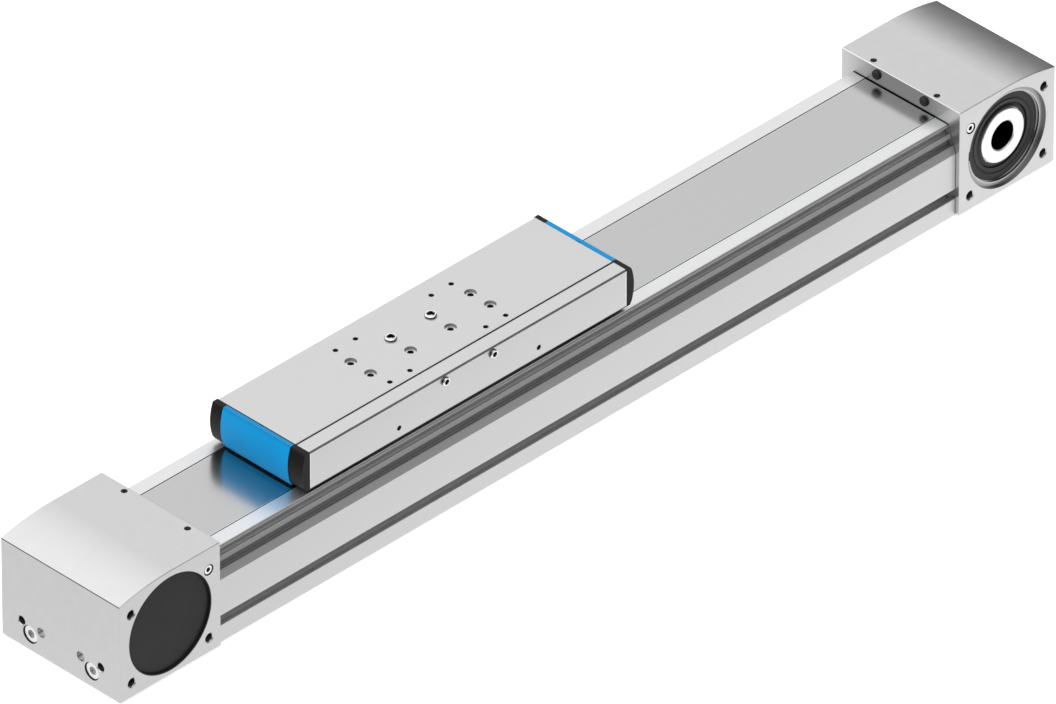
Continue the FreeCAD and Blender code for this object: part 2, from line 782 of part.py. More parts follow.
def make_head():
    """Machined housing with pulley chamber, bearing seats and all of its holes."""
    body = Part.Face(head_outline()).extrude(vec(0, head_width, 0))
    body = chamfer_edges(body, head_edge_break, lambda edge: abs(edge.CenterOfMass.y) > side_face_y - 0.1)
    tools = [rod(chamber_radius, vec(shaft_x, -bearing_inner_y, shaft_z), Y_AXIS, 2 * bearing_inner_y)]
    w = chamber_half_width
    slot_top = belt_back_z + 1
    tools.append(block(half_profile - 1, shaft_x, -w, w, shaft_z - chamber_radius, slot_top))
    for side in (-1, 1):
        inward = Y_AXIS * -side
        face = vec(shaft_x, side * side_face_y, shaft_z)
        groove = vec(shaft_x, side * (bearing_face_y + retaining_ring_thickness), shaft_z)
        tools.append(rod(cap_seat_radius, face, inward, cap_seat_depth))
        tools.append(rod(bearing_outer_radius, face, inward, bearing_depth + bearing_width))
        tools.append(rod(retaining_ring_outer_radius, groove, inward, retaining_ring_thickness))
        for dx, dz in ((-plug_x, 0), (plug_x, 0), (plug_x, flange_hole_spacing_z)):
            tools.append(side_hole(shaft_x + dx, head_lift + flange_hole_low + dz, flange_hole_core_radius,
                                   flange_hole_depth, flange_hole_mouth_radius, side))
        plug_mouth = vec(shaft_x - plug_x, side * side_face_y, plug_z())
        tools.append(side_hole(shaft_x - plug_x, plug_z(), plug_radius + thread_gap,
                               plug_depth + plug_recess, plug_mouth_radius, side))
        tools.append(rod(plug_duct_radius, plug_mouth, inward, side_face_y - w + 1))
        tie_mouth = vec(half_length, side * tie_screw_y, tie_z)
        tools.append(rod(tie_counterbore_radius, tie_mouth, -X_AXIS, tie_counterbore_depth))
        tools.append(rod(tie_screw_radius + screw_hole_gap, tie_mouth, -X_AXIS, head_length + 1))
        tools.append(end_hole(side * end_hole_y, head_lift + end_hole_height, end_hole_radius,
                              end_hole_depth, end_hole_mouth_radius))
        dowel = vec(half_length, side * dowel_hole_y, head_lift + dowel_hole_height)
        tools.append(rod(dowel_hole_radius, dowel, -X_AXIS, dowel_hole_depth))
        set_hole = vec(half_profile + set_screw_inset, side * set_screw_y, strip_z)
        tools.append(rod(set_screw_radius + thread_gap, set_hole, Z_AXIS, head_top_z - strip_z + 1))
        socket = vec(half_profile, side * buffer_y, head_lift + buffer_height)
        tools.append(rod(buffer_radius, socket, X_AXIS, buffer_socket_depth))
    slit = strip_slit_half_width
    tools.append(block(half_profile - 1, half_profile + strip_slit_depth, -slit, slit, strip_z,
                       strip_z + strip_slit_rise))
    return cut_all(body, tools)


def plug_z():
    return head_lift + flange_hole_low + flange_hole_spacing_z


def make_tie_screws():
    under_head = half_length - tie_counterbore_depth
    screws = []
    for y in (-tie_screw_y, tie_screw_y):
        tip = vec(under_head - tie_screw_length, y, tie_z)
        screws.append(socket_screw(tip, X_AXIS, tie_screw_length, tie_screw_radius - thread_gap,
                                   tie_screw_head_radius, tie_screw_head_height))
    return screws


def make_head_small_parts():
    """Set screws, pads, buffers and plugs of one head."""
    pads, screws, buffers, plugs = [], [], [], []
    for side in (-1, 1):
        x = half_profile + set_screw_inset
        pad_z = profile_height
        screw_z = pad_z + pad_height
        pads.append(rod(set_screw_radius - cap_fit, vec(x, side * set_screw_y, pad_z), Z_AXIS, pad_height))
        screw = rod(set_screw_radius, vec(x, side * set_screw_y, screw_z), Z_AXIS, set_screw_length)
        socket_z = screw_z + set_screw_length - set_screw_radius
        socket = hexagon(set_screw_radius, vec(x, side * set_screw_y, socket_z), Z_AXIS, set_screw_radius)
        screws.append(screw.cut(socket))
        root = vec(half_profile + buffer_socket_depth, side * buffer_y, head_lift + buffer_height)
        length = buffer_socket_depth + buffer_reach
        nose = buffer_radius - cap_fit
        shank_length = length - buffer_tip_break
        shank = rod(nose, root, -X_AXIS, shank_length)
        tip = Part.makeCone(nose, nose - buffer_tip_break, buffer_tip_break,
                            root - X_AXIS * shank_length, -X_AXIS)
        buffers.append(shank.fuse(tip))
        inner = vec(shaft_x - plug_x, side * (side_face_y - plug_recess - plug_depth), plug_z())
        plug = rod(plug_radius, inner, Y_AXIS * side, plug_depth)
        socket_depth = plug_depth / 2
        socket_start = inner + Y_AXIS * (side * socket_depth)
        plugs.append(plug.cut(hexagon(plug_radius, socket_start, Y_AXIS * side, socket_depth)))
    return pads, screws, buffers, plugs


def make_blanking_cap(side):
    """Shallow dished cap: a thin rim just inside the side face round a sunk disc."""
    rim_y = side * (side_face_y - cap_rim_depth)
    dish_y = side * (side_face_y - cap_dish_depth)
    seat_y = side * (side_face_y - cap_seat_depth)
    disc_radius = cap_seat_radius - cap_fit
    rim_radius = disc_radius - cap_rim_width
    outline = [
        (0, dish_y),
        (rim_radius - cap_dish_slope, dish_y),
        (rim_radius, rim_y),
        (disc_radius, rim_y),
        (disc_radius, seat_y),
        (0, seat_y),
    ]
    face = closed_face([vec(shaft_x + radius, y, shaft_z) for radius, y in outline])
    return face.revolve(vec(shaft_x, 0, shaft_z), Y_AXIS, 360)


# Bearings
def bearing_parts(side):
    """Outer ring, ball and cage ring, outboard seal and inner ring of one bearing."""
    y_out = side * bearing_face_y
    y_in = side * bearing_inner_y
    outer_bore = bearing_outer_radius - bearing_outer_ring_wall
    inner_top = bearing_bore_radius + bearing_inner_ring_wall
    seal_inner = y_out - side * bearing_seal_thickness
    outer = turned_about_y([
        (outer_bore, y_in), (bearing_outer_radius - seat_clearance, y_in),
        (bearing_outer_radius - seat_clearance, y_out), (outer_bore + bearing_seal_seat, y_out),
        (outer_bore + bearing_seal_seat, seal_inner), (outer_bore, seal_inner)], shaft_x, shaft_z)
    inner = turned_about_y([
        (bearing_bore_radius, y_in), (inner_top, y_in), (inner_top, seal_inner),
        (bearing_bore_radius + inner_ring_land, y_out), (bearing_bore_radius, y_out)], shaft_x, shaft_z)
    middle = (outer_bore + inner_top) / 2
    groove_y = y_out - side * seal_groove_depth
    seal = turned_about_y([
        (inner_top + running_gap, seal_inner), (outer_bore + bearing_seal_seat, seal_inner),
        (outer_bore + bearing_seal_seat, y_out), (middle + seal_groove_half_width, y_out),
        (middle + seal_groove_floor_half_width, groove_y), (middle - seal_groove_floor_half_width, groove_y),
        (middle - seal_groove_half_width, y_out),
        (inner_top + running_gap, y_out - side * seal_lip_drop)], shaft_x, shaft_z)
    cage = turned_about_y([
        (inner_top + running_gap, y_in + side * cage_inset), (outer_bore, y_in + side * cage_inset),
        (outer_bore, seal_inner), (inner_top + running_gap, seal_inner)], shaft_x, shaft_z)
    return outer, cage, seal, inner


def make_retaining_ring(side):
    """Open ring in its groove, with its gap and two eyes on the side towards the profile."""
    y0 = side * bearing_face_y
    y1 = side * (bearing_face_y + retaining_ring_thickness)
    outer = retaining_ring_outer_radius - cap_fit
    ring = ring_about_y(retaining_ring_inner_radius, outer, y0, y1, shaft_x, shaft_z)
    low, high = min(y0, y1), max(y0, y1)
    half_gap = retaining_ring_gap / 2
    opening = block(shaft_x - retaining_ring_outer_radius - 1, shaft_x, low - 1, high + 1,
                    shaft_z - half_gap, shaft_z + half_gap)
    ring = ring.cut(opening)
    middle = (retaining_ring_inner_radius + outer) / 2
    eye_angle = math.asin((half_gap + 2 * retaining_ring_eye_radius) / middle)
    for direction in (-1, 1):
        x = shaft_x - middle * math.cos(eye_angle)
        z = shaft_z + direction * middle * math.sin(eye_angle)
        ring = ring.cut(rod(retaining_ring_eye_radius, vec(x, low - 1, z), Y_AXIS, high - low + 2))
    return ring


# Guide rail and its screws
def rail_screw_stations():
    count = int((rail_length - rail_screw_pitch / 3) // rail_screw_pitch)
    first = -count * rail_screw_pitch / 2
    return [first + k * rail_screw_pitch for k in range(count + 1)]


def rail_screw_bite():
    return rail_screw_length - (rail_height - rail_screw_sink)


def make_rail():
    """Rail with ball grooves, bored for its screws."""
    half = rail_width / 2
    top = rail_top_z
    right = [
        (half, rail_seat_z), (half, top - rail_groove_low),
        (half - rail_groove_depth, top - rail_groove_floor_low),
        (half - rail_groove_depth, top - rail_groove_floor_high),
        (half, top - rail_groove_high), (half, top - rail_top_break), (half - rail_top_break, top),
    ]
    outline = right + [(-y, z) for y, z in reversed(right)]
    rail = prism_along_x(outline, -rail_length / 2, rail_length / 2)
    tools = []
    for x in rail_screw_stations():
        tools.append(rod(rail_hole_radius, vec(x, 0, rail_seat_z - 1), Z_AXIS, rail_height + 2))
        sink_z = top - rail_screw_sink
        tools.append(rod(rail_counterbore_radius, vec(x, 0, sink_z), Z_AXIS, rail_screw_sink + 1))
    return cut_all(rail, tools)


def make_rail_screws():
    seat_z = rail_top_z - rail_screw_sink
    screws = []
    for x in rail_screw_stations():
        tip = vec(x, 0, seat_z - rail_screw_length)
        screws.append(socket_screw(tip, Z_AXIS, rail_screw_length, rail_screw_radius,
                                   rail_screw_head_radius, rail_screw_head_height))
    return screws


# Carriage
def saddle_outline(gap, inset=0.0):
    """Inverted U that wraps the rail's head, with noses reaching into the ball grooves."""
    half = rail_width / 2 + gap
    top = rail_top_z + gap
    low = rail_seat_z + block_foot_gap
    nose = half - rail_groove_depth + gap
    outer = block_width / 2 - inset
    crown = block_top_z - inset
    right = [(outer, low), (outer, crown - block_shoulder_drop), (outer - block_shoulder_run, crown)]
    inner = [
        (half, top), (half, rail_top_z - rail_groove_high + gap),
        (nose, rail_top_z - rail_groove_floor_high), (nose, rail_top_z - rail_groove_floor_low),
        (half, rail_top_z - rail_groove_low - gap), (half, low),
    ]
    left = [(-y, z) for y, z in reversed(right)]
    inner_left = [(-y, z) for y, z in inner]
    return right + left + inner_left[::-1] + inner


def make_guide_block(station):
    """Steel block with threaded holes in its top."""
    centre = slide_centre_x + station
    half = block_length / 2
    body = prism_along_x(saddle_outline(running_gap), centre - half, centre + half)
    bite = block_screw_length - (base_plate_thickness - block_screw_head_height) + 1
    tools = []
    for dx in (-block_screw_half_span, block_screw_half_span):
        for y in (-block_screw_y, block_screw_y):
            tools.append(rod(block_screw_radius + thread_gap, vec(centre + dx, y, block_top_z), -Z_AXIS, bite))
    return cut_all(body, tools)


def make_block_end_plates():
    plates = []
    outline = saddle_outline(running_gap * 2, end_plate_inset)
    for station in (-block_station, block_station):
        centre = slide_centre_x + station
        half = block_length / 2
        plates.append(prism_along_x(outline, centre - half - block_end_plate, centre - half))
        plates.append(prism_along_x(outline, centre + half, centre + half + block_end_plate))
    return plates


def block_screw_places():
    for station in (-block_station, block_station):
        for dx in (-block_screw_half_span, block_screw_half_span):
            for y in (-block_screw_y, block_screw_y):
                yield slide_centre_x + station + dx, y


def make_block_screws():
    seat_z = base_plate_z - block_screw_head_height
    screws = []
    for x, y in block_screw_places():
        tip = vec(x, y, seat_z - block_screw_length)
        screws.append(socket_screw(tip, Z_AXIS, block_screw_length, block_screw_radius,
                                   block_screw_head_radius, block_screw_head_height))
    return screws


def base_screw_places():
    for dx in (-base_screw_outer_x, -base_screw_inner_x, base_screw_inner_x, base_screw_outer_x):
        for y in (-base_screw_y, base_screw_y):
            yield slide_centre_x + dx, y


def make_carriage_base():
    """Lower plate on the guide blocks, neck through the channel, and flange under the slide."""
    c = slide_centre_x
    plate = block(c - base_plate_half_length, c + base_plate_half_length, -base_plate_half_width,
                  base_plate_half_width, block_top_z, base_plate_z)
    neck = block(c - neck_half_length, c + neck_half_length, -base_plate_half_width,
                 base_plate_half_width, base_plate_z, base_flange_z)
    flange = block(c - base_flange_half_length, c + base_flange_half_length, -base_flange_half_width,
                   base_flange_half_width, base_flange_z, flange_top_z)
    body = plate.fuse([neck, flange]).removeSplitter()
    tools = []
    for x, y in block_screw_places():
        seat = vec(x, y, base_plate_z - block_screw_head_height)
        tools.append(rod(block_screw_head_radius + screw_hole_gap, seat, Z_AXIS, block_screw_head_height + 1))
        tools.append(rod(block_screw_radius + screw_hole_gap, vec(x, y, block_top_z - 1), Z_AXIS,
                         base_plate_thickness))
        tools.append(rod(access_hole_radius, vec(x, y, base_flange_z - 1), Z_AXIS, base_flange_thickness + 2))
    for x, y in base_screw_places():
        tools.append(rod(base_screw_head_radius + screw_hole_gap / 2, vec(x, y, base_flange_z - 1), Z_AXIS,
                         base_screw_head_height + 1))
        tools.append(rod(base_screw_radius + screw_hole_gap / 2, vec(x, y, base_flange_z), Z_AXIS,
                         base_flange_thickness + 1))
    for x, y in clamp_screw_places():
        tools.append(rod(clamp_screw_radius + thread_gap, vec(x, y, base_plate_z + 1), -Z_AXIS,
                         base_plate_thickness))
    return cut_all(body, tools)


def make_base_screws():
    screws = []
    for x, y in base_screw_places():
        seat_z = base_flange_z + base_screw_head_height
        tip = vec(x, y, seat_z + base_screw_length)
        screws.append(socket_screw(tip, -Z_AXIS, base_screw_length, base_screw_radius,
                                   base_screw_head_radius, base_screw_head_height))
    return screws


# Belt clamps
def clamp_screw_places():
    for x_sign in (-1, 1):
        for inset in (clamp_screw_inset, clamp_length - clamp_screw_inset):
            for y in (-clamp_screw_y, clamp_screw_y):
                yield slide_centre_x + x_sign * (clamp_start + inset), y


def clamp_span(x_sign):
    ends = (slide_centre_x + x_sign * clamp_start, slide_centre_x + x_sign * (clamp_start + clamp_length))
    return min(ends), max(ends)


def make_clamp_jaw(x_sign):
    """Lower jaw, toothed to take the belt end."""
    x0, x1 = clamp_span(x_sign)
    top = belt_land_z - mesh_gap
    floor = shaft_z + tooth_tip_radius - mesh_gap
    distances = tooth_distances(belt_start, belt_end)
    places = sorted(belt_frame(d)[0].x for d in distances if belt_frame(d)[1].z < -0.5)
    reach = belt_tooth_root_width / 2 + 2 * mesh_gap
    outline = [(x0, base_plate_z), (x0, top)]
    for x in places:
        if x - reach <= x0 or x + reach >= x1:
            continue
        mouth = belt_tooth_root_width / 2 + mesh_gap
        tip = belt_tooth_tip_width / 2 + mesh_gap
        outline += [(x - mouth, top), (x - tip, floor), (x + tip, floor), (x + mouth, top)]
    outline += [(x1, top), (x1, base_plate_z)]
    return prism_along_y(outline, -clamp_half_width, clamp_half_width)


def make_clamp_plate(x_sign):
    x0, x1 = clamp_span(x_sign)
    low = belt_back_z + seat_clearance
    return block(x0, x1, -clamp_half_width, clamp_half_width, low, low + clamp_plate_thickness)


def bored_for_clamp_screws(shape):
    tools = []
    head_z = belt_back_z + clamp_plate_thickness - clamp_screw_head_height
    through = head_z + clamp_screw_head_height - base_plate_z + 2
    for x, y in clamp_screw_places():
        tools.append(rod(clamp_screw_radius + screw_hole_gap / 2, vec(x, y, base_plate_z - 1), Z_AXIS, through))
        tools.append(rod(clamp_screw_head_radius + screw_hole_gap / 2, vec(x, y, head_z), Z_AXIS,
                         clamp_screw_head_height + 1))
    return cut_all(shape, tools)


def make_clamp_screws():
    screws = []
    head_z = belt_back_z + clamp_plate_thickness - clamp_screw_head_height
    for x, y in clamp_screw_places():
        tip = vec(x, y, head_z - clamp_screw_length)
        screws.append(socket_screw(tip, Z_AXIS, clamp_screw_length, clamp_screw_radius,
                                   clamp_screw_head_radius, clamp_screw_head_height))
    return screws


# Slide body and side bar
def slide_rebate():
    """Room for the carriage base's flange under the slide's walls."""
    c = slide_centre_x
    reach = base_flange_half_length + cap_fit
    side = base_flange_half_width + cap_fit
    return block(c - reach, c + reach, -side, side, slide_skirt_z - 1, flange_top_z)


def base_screw_cores():
    bite = base_screw_length - (base_flange_thickness - base_screw_head_height) + 1
    return [rod(base_screw_radius + thread_gap, vec(x, y, flange_top_z - 0.5), Z_AXIS, bite + 0.5)
            for x, y in base_screw_places()]


def top_hole(dx, y, core_radius, depth, mouth_radius, mouth_depth):
    """Hole from the slide's top, with a seat or chamfer at its mouth."""
    top = vec(slide_centre_x + dx, y, slide_top_z)
    core = rod(core_radius, top, -Z_AXIS, depth)
    seat = rod(mouth_radius, top, -Z_AXIS, mouth_depth)
    return core.fuse(seat)


def top_m6_places():
    for dx in (-top_pattern_outer_x, -top_pattern_inner_x, top_pattern_inner_x, top_pattern_outer_x):
        for y in (-top_pattern_y, top_pattern_y):
            yield dx, y


def top_m5_places():
    for dx in (-top_small_outer_x, -top_small_inner_x, top_small_inner_x, top_small_outer_x):
        for y in (-top_small_y, top_small_y):
            yield dx, y


def make_slide_body():
    """Top plate and far wall in one piece, open below for the strip and the carriage base."""
    c = slide_centre_x
    half_groove = slide_joint_groove / 2
    outline = [
        (slide_joint_y, slide_plate_z), (slide_joint_y, slide_top_z - slide_joint_groove),
        (slide_joint_y + half_groove, slide_top_z - slide_joint_groove),
        (slide_joint_y + half_groove, slide_top_z),
        (slide_far_y - slide_edge_break, slide_top_z), (slide_far_y, slide_top_z - slide_edge_break),
        (slide_far_y, slide_skirt_z), (slide_wall_inner_y, slide_skirt_z),
        (slide_wall_inner_y, slide_plate_z),
    ]
    body = prism_along_x(outline, c - half_slide, c + half_slide)
    tools = [slide_rebate()]
    tools += [core for core in base_screw_cores() if core.CenterOfMass.y > 0]
    for dx, y in top_m6_places():
        tools.append(top_hole(dx, y, m6_core_radius, m6_depth, sleeve_seat_radius, sleeve_seat_depth))
    for dx, y in top_m5_places():
        tools.append(rod(m5_core_radius, vec(c + dx, y, slide_top_z), -Z_AXIS, m5_depth))
    for x_sign in (-1, 1):
        for y in (-end_screw_y, end_screw_y):
            mouth = vec(c + x_sign * half_slide, y, end_screw_z)
            tools.append(rod(end_screw_radius + thread_gap, mouth, X_AXIS * -x_sign, end_screw_length))
    return cut_all(body, tools)


def make_slide_side_bar():
    """Near wall of the slide, with side holes and sleeve seats."""
    c = slide_centre_x
    half_groove = slide_joint_groove / 2
    outline = [
        (slide_joint_y, slide_skirt_z), (slide_joint_y, slide_top_z - slide_joint_groove),
        (slide_joint_y - half_groove, slide_top_z - slide_joint_groove),
        (slide_joint_y - half_groove, slide_top_z),
        (slide_near_y + slide_edge_break, slide_top_z), (slide_near_y, slide_top_z - slide_edge_break),
        (slide_near_y, slide_skirt_z),
    ]
    bar = prism_along_x(outline, c - half_slide, c + half_slide)
    tools = [slide_rebate()]
    tools += [core for core in base_screw_cores() if core.CenterOfMass.y < 0]
    for x_sign in (-1, 1):
        hole = vec(c + x_sign * side_hole_x, slide_near_y, side_hole_z)
        tools.append(rod(m5_core_radius, hole, Y_AXIS, side_hole_depth))
        seat = vec(c + x_sign * side_sleeve_x, slide_near_y, side_sleeve_z)
        tools.append(rod(side_sleeve_radius, seat, Y_AXIS, side_sleeve_seat_depth))
        tools.append(rod(side_sleeve_core_radius, seat, Y_AXIS, side_hole_depth))
    return cut_all(bar, tools)


def make_sleeve(point, direction, outer, bore, seat_depth, rise):
    """Centring sleeve: a short tube with a bevelled rim, standing out of its seat."""
    foot = point - direction * seat_depth
    wall = rise - sleeve_bevel
    body = rod(outer, foot, direction, seat_depth + wall)
    rim = Part.makeCone(outer, outer - sleeve_bevel, sleeve_bevel, point + direction * wall, direction)
    return body.fuse(rim).cut(rod(bore, foot, direction, seat_depth + rise))


# Slide end caps
def cap_section(bottom_z, foot_rise):
    """Side view of an end cap: (thickness, z) line pieces and the belly arc."""
    top_edge = (cap_edge_thickness, slide_top_z - cap_edge_drop)
    belly = (cap_belly, (slide_top_z + slide_skirt_z) / 2)
    foot = (cap_edge_thickness + cap_foot_flare, bottom_z + foot_rise)
    return top_edge, belly, foot


def cap_prism(x_sign, bottom_z, foot_rise, y0, y1, back=0.0, inset=0.0):
    """D-shaped cap body outside one end of the slide, from its back plane outwards."""
    end = slide_centre_x + x_sign * half_slide
    top_edge, belly, foot = cap_section(bottom_z, foot_rise)

    def at(thickness, z):
        return vec(end + x_sign * thickness, y0, z)

    top = slide_top_z - inset
    bottom = bottom_z + inset
    curves = [
        Part.LineSegment(at(back, bottom), at(back, top)),
        Part.LineSegment(at(back, top), at(cap_top_thickness - inset, top)),
        Part.LineSegment(at(cap_top_thickness - inset, top), at(top_edge[0] - inset, top_edge[1] - inset)),
        Part.Arc(at(top_edge[0] - inset, top_edge[1] - inset), at(belly[0] - inset, belly[1]),
                 at(foot[0] - inset, foot[1] + inset)),
        Part.LineSegment(at(foot[0] - inset, foot[1] + inset), at(cap_foot_thickness - inset, bottom)),
        Part.LineSegment(at(cap_foot_thickness - inset, bottom), at(back, bottom)),
    ]
    wire = Part.Wire([curve.toShape() for curve in curves])
    return Part.Face(wire).extrude(vec(0, y1 - y0, 0))


def cap_hollow_top():
    return slide_top_z - blue_wall - notch_depth


def make_end_cap(x_sign):
    """Black cap: thin back plate across the slide's end with a D-shaped cheek at each side."""
    end = slide_centre_x + x_sign * half_slide
    near = cap_prism(x_sign, slide_skirt_z, cap_foot_rise, slide_near_y, -blue_half_width)
    far = cap_prism(x_sign, slide_skirt_z, cap_foot_rise, blue_half_width, slide_far_y)
    plate_ends = sorted((end, end + x_sign * cap_back_plate))
    plate = block(plate_ends[0], plate_ends[1], -blue_half_width, blue_half_width,
                  slide_plate_z - cap_plate_reach, cap_hollow_top() - cap_fit)
    body = near.fuse([far, plate])
    tools = []
    for y in (-end_screw_y, end_screw_y):
        mouth = vec(end, y, end_screw_z)
        tools.append(rod(end_screw_radius + screw_hole_gap, mouth - X_AXIS * x_sign, X_AXIS * x_sign, 4))
    return cut_all(body, tools)


def make_blue_cover(x_sign):
    """Centre cover, clipped over the black cap's back plate, hollow behind."""
    end = slide_centre_x + x_sign * half_slide
    half = blue_half_width - cap_fit / 2
    shell = cap_prism(x_sign, blue_bottom_z, cap_foot_rise, -half, half)
    hollow_depth = cap_top_thickness - blue_face_wall
    ends = sorted((end - x_sign, end + x_sign * hollow_depth))
    hollow = block(ends[0], ends[1], -half + blue_wall, half - blue_wall, blue_bottom_z - 1,
                   cap_hollow_top())
    notch_ends = sorted((end - x_sign, end + x_sign * notch_depth))
    notch = block(notch_ends[0], notch_ends[1], -notch_width / 2, notch_width / 2,
                  slide_top_z - notch_depth, slide_top_z + 1)
    relief_ends = sorted((end - x_sign, end + x_sign * (cap_back_plate + cap_fit)))
    relief = block(relief_ends[0], relief_ends[1], -half - 1, half + 1, blue_bottom_z - 1, cap_hollow_top())
    return cut_all(shell, [hollow, notch, relief])


def make_wiper(x_sign):
    """Wiper lip under the blue cover, just clear of the strip."""
    end = slide_centre_x + x_sign * half_slide
    start = cap_back_plate
    low = profile_height + strip_gap / 2
    ends = sorted((end + x_sign * start, end + x_sign * (start + wiper_thickness)))
    lip = block(ends[0], ends[1], -wiper_half_width, wiper_half_width, low, low + wiper_height)
    carrier_ends = sorted((end, end + x_sign * start))
    carrier = block(carrier_ends[0], carrier_ends[1], -wiper_half_width, wiper_half_width,
                    blue_bottom_z, slide_plate_z - cap_plate_reach)
    return lip.fuse(carrier).removeSplitter()


def make_end_cap_screws():
    screws = []
    for x_sign in (-1, 1):
        end = slide_centre_x + x_sign * half_slide
        direction = X_AXIS * x_sign
        for y in (-end_screw_y, end_screw_y):
            tip = vec(end, y, end_screw_z) - direction * (end_screw_length - cap_back_plate)
            screws.append(socket_screw(tip, direction, end_screw_length, end_screw_radius,
                                       end_screw_head_radius, end_screw_head_height))
    return screws


# Strip ramps and shoes
def make_strip_ramp(x_sign):
    """Wedge on the flange's end that carries the strip down, following its crest arc."""
    crest, foot, half_angle = ramp_curves(x_sign, -strip_gap)
    start_x = base_flange_half_length
    start_angle = math.asin((start_x - strip_ramp_top) / (ramp_radius - strip_gap))
    upper = crest(start_angle)
    middle = crest((start_angle + half_angle) / 2)
    lower = crest(half_angle)
    foot_z = base_flange_z
    curves = [
        Part.LineSegment(vec(upper.x, 0, foot_z), upper),
        Part.Arc(upper, middle, lower),
        Part.LineSegment(lower, vec(lower.x, 0, foot_z)),
        Part.LineSegment(vec(lower.x, 0, foot_z), vec(upper.x, 0, foot_z)),
    ]
    wire = Part.Wire([curve.toShape() for curve in curves])
    wire.translate(vec(0, -strip_half_width, 0))
    return Part.Face(wire).extrude(vec(0, 2 * strip_half_width, 0))


def make_strip_shoe(x_sign):
    """Shoe under the slide's top plate that presses the strip back into the profile."""
    crest, foot, half_angle = ramp_curves(x_sign, strip_thickness + strip_gap)
    high = foot(half_angle)
    middle = foot(half_angle / 2)
    low = foot(0.0)
    end_x = slide_centre_x + x_sign * (half_slide - shoe_end_inset)
    curves = [
        Part.LineSegment(vec(high.x, 0, slide_plate_z), high),
        Part.Arc(high, middle, low),
        Part.LineSegment(low, vec(end_x, 0, low.z)),
        Part.LineSegment(vec(end_x, 0, low.z), vec(end_x, 0, slide_plate_z)),
        Part.LineSegment(vec(end_x, 0, slide_plate_z), vec(high.x, 0, slide_plate_z)),
    ]
    wire = Part.Wire([curve.toShape() for curve in curves])
    wire.translate(vec(0, -strip_half_width, 0))
    return Part.Face(wire).extrude(vec(0, 2 * strip_half_width, 0))


# Fixed parts
head = make_head()
save("profile_extrusion", make_profile())
save("guide_rail", make_rail())
save("rail_screws", *make_rail_screws())
save("magnetic_strips", *make_magnetic_strips())
save("cover_strip", make_cover_strip())
save("toothed_belt", make_belt())
save("drive_head_housing", head)
save("idler_head_housing", mirrored_in_x(head))

tie_screws = make_tie_screws()
save("drive_tie_screws", *tie_screws)
save("idler_tie_screws", *[mirrored_in_x(screw) for screw in tie_screws])

pads, set_screws, buffers, plugs = make_head_small_parts()
for name, solids in (("strip_clamp_pads", pads), ("strip_clamp_screws", set_screws),
                     ("end_buffers", buffers), ("port_plugs", plugs)):
    save(name, *(solids + [mirrored_in_x(solid) for solid in solids]))

near_cap = make_blanking_cap(-1)
far_cap = make_blanking_cap(1)
save("drive_far_cap", far_cap)
save("idler_near_cap", mirrored_in_x(near_cap))
save("idler_far_cap", mirrored_in_x(far_cap))

near_bearing = bearing_parts(-1)
far_bearing = bearing_parts(1)
for index, part_name in enumerate(("outer_rings", "ball_rings", "seals", "inner_rings")):
    pair = (near_bearing[index], far_bearing[index])
    save("drive_bearing_" + part_name, *pair)
    save("idler_bearing_" + part_name, *[mirrored_in_x(solid) for solid in pair])

rings = [make_retaining_ring(side) for side in (-1, 1)]
save("drive_retaining_rings", *rings)
save("idler_retaining_rings", *[mirrored_in_x(ring) for ring in rings])

# Turning parts
idler_phase = (idler_top_distance % belt_pitch) / pitch_radius
save("drive_hub", make_hub(shaft_x))
save("idler_hub", make_hub(-shaft_x))
save("drive_pulley", make_pulley(shaft_x, 0.0))
save("idler_pulley", make_pulley(-shaft_x, -idler_phase))

# Slide parts
save("carriage_base", make_carriage_base())
save("base_screws", *make_base_screws())
save("guide_block_left", make_guide_block(-block_station))
save("guide_block_right", make_guide_block(block_station))
save("guide_block_end_plates", *make_block_end_plates())
save("guide_block_screws", *make_block_screws())
save("belt_clamp_jaws", *[bored_for_clamp_screws(make_clamp_jaw(x_sign)) for x_sign in (-1, 1)])
save("belt_clamp_plates", *[bored_for_clamp_screws(make_clamp_plate(x_sign)) for x_sign in (-1, 1)])
save("belt_clamp_screws", *make_clamp_screws())
save("slide_body", make_slide_body())
save("slide_side_bar", make_slide_side_bar())
save("end_cap_left", make_end_cap(-1))
save("end_cap_right", make_end_cap(1))
save("centre_cover_left", make_blue_cover(-1))
save("centre_cover_right", make_blue_cover(1))
save("end_cap_screws", *make_end_cap_screws())
save("strip_wipers", make_wiper(-1), make_wiper(1))
save("strip_ramps", make_strip_ramp(-1), make_strip_ramp(1))
save("strip_shoes", make_strip_shoe(-1), make_strip_shoe(1))

top_sleeves = []
side_sleeves = []
for x_sign in (-1, 1):
    top_seat = vec(slide_centre_x + x_sign * top_pattern_inner_x, top_pattern_y, slide_top_z)
    top_sleeves.append(make_sleeve(top_seat, Z_AXIS, sleeve_seat_radius - seat_clearance, sleeve_bore_radius,
                                   sleeve_seat_depth, sleeve_rise))
    side_seat = vec(slide_centre_x + x_sign * side_sleeve_x, slide_near_y, side_sleeve_z)
    side_sleeves.append(make_sleeve(side_seat, -Y_AXIS, side_sleeve_radius - seat_clearance,
                                    side_sleeve_bore_radius, side_sleeve_seat_depth, side_sleeve_rise))
save("top_centring_sleeves", *top_sleeves)
save("side_centring_sleeves", *side_sleeves)
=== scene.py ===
import bpy
import math

import numpy as np
from mathutils import Matrix, Vector


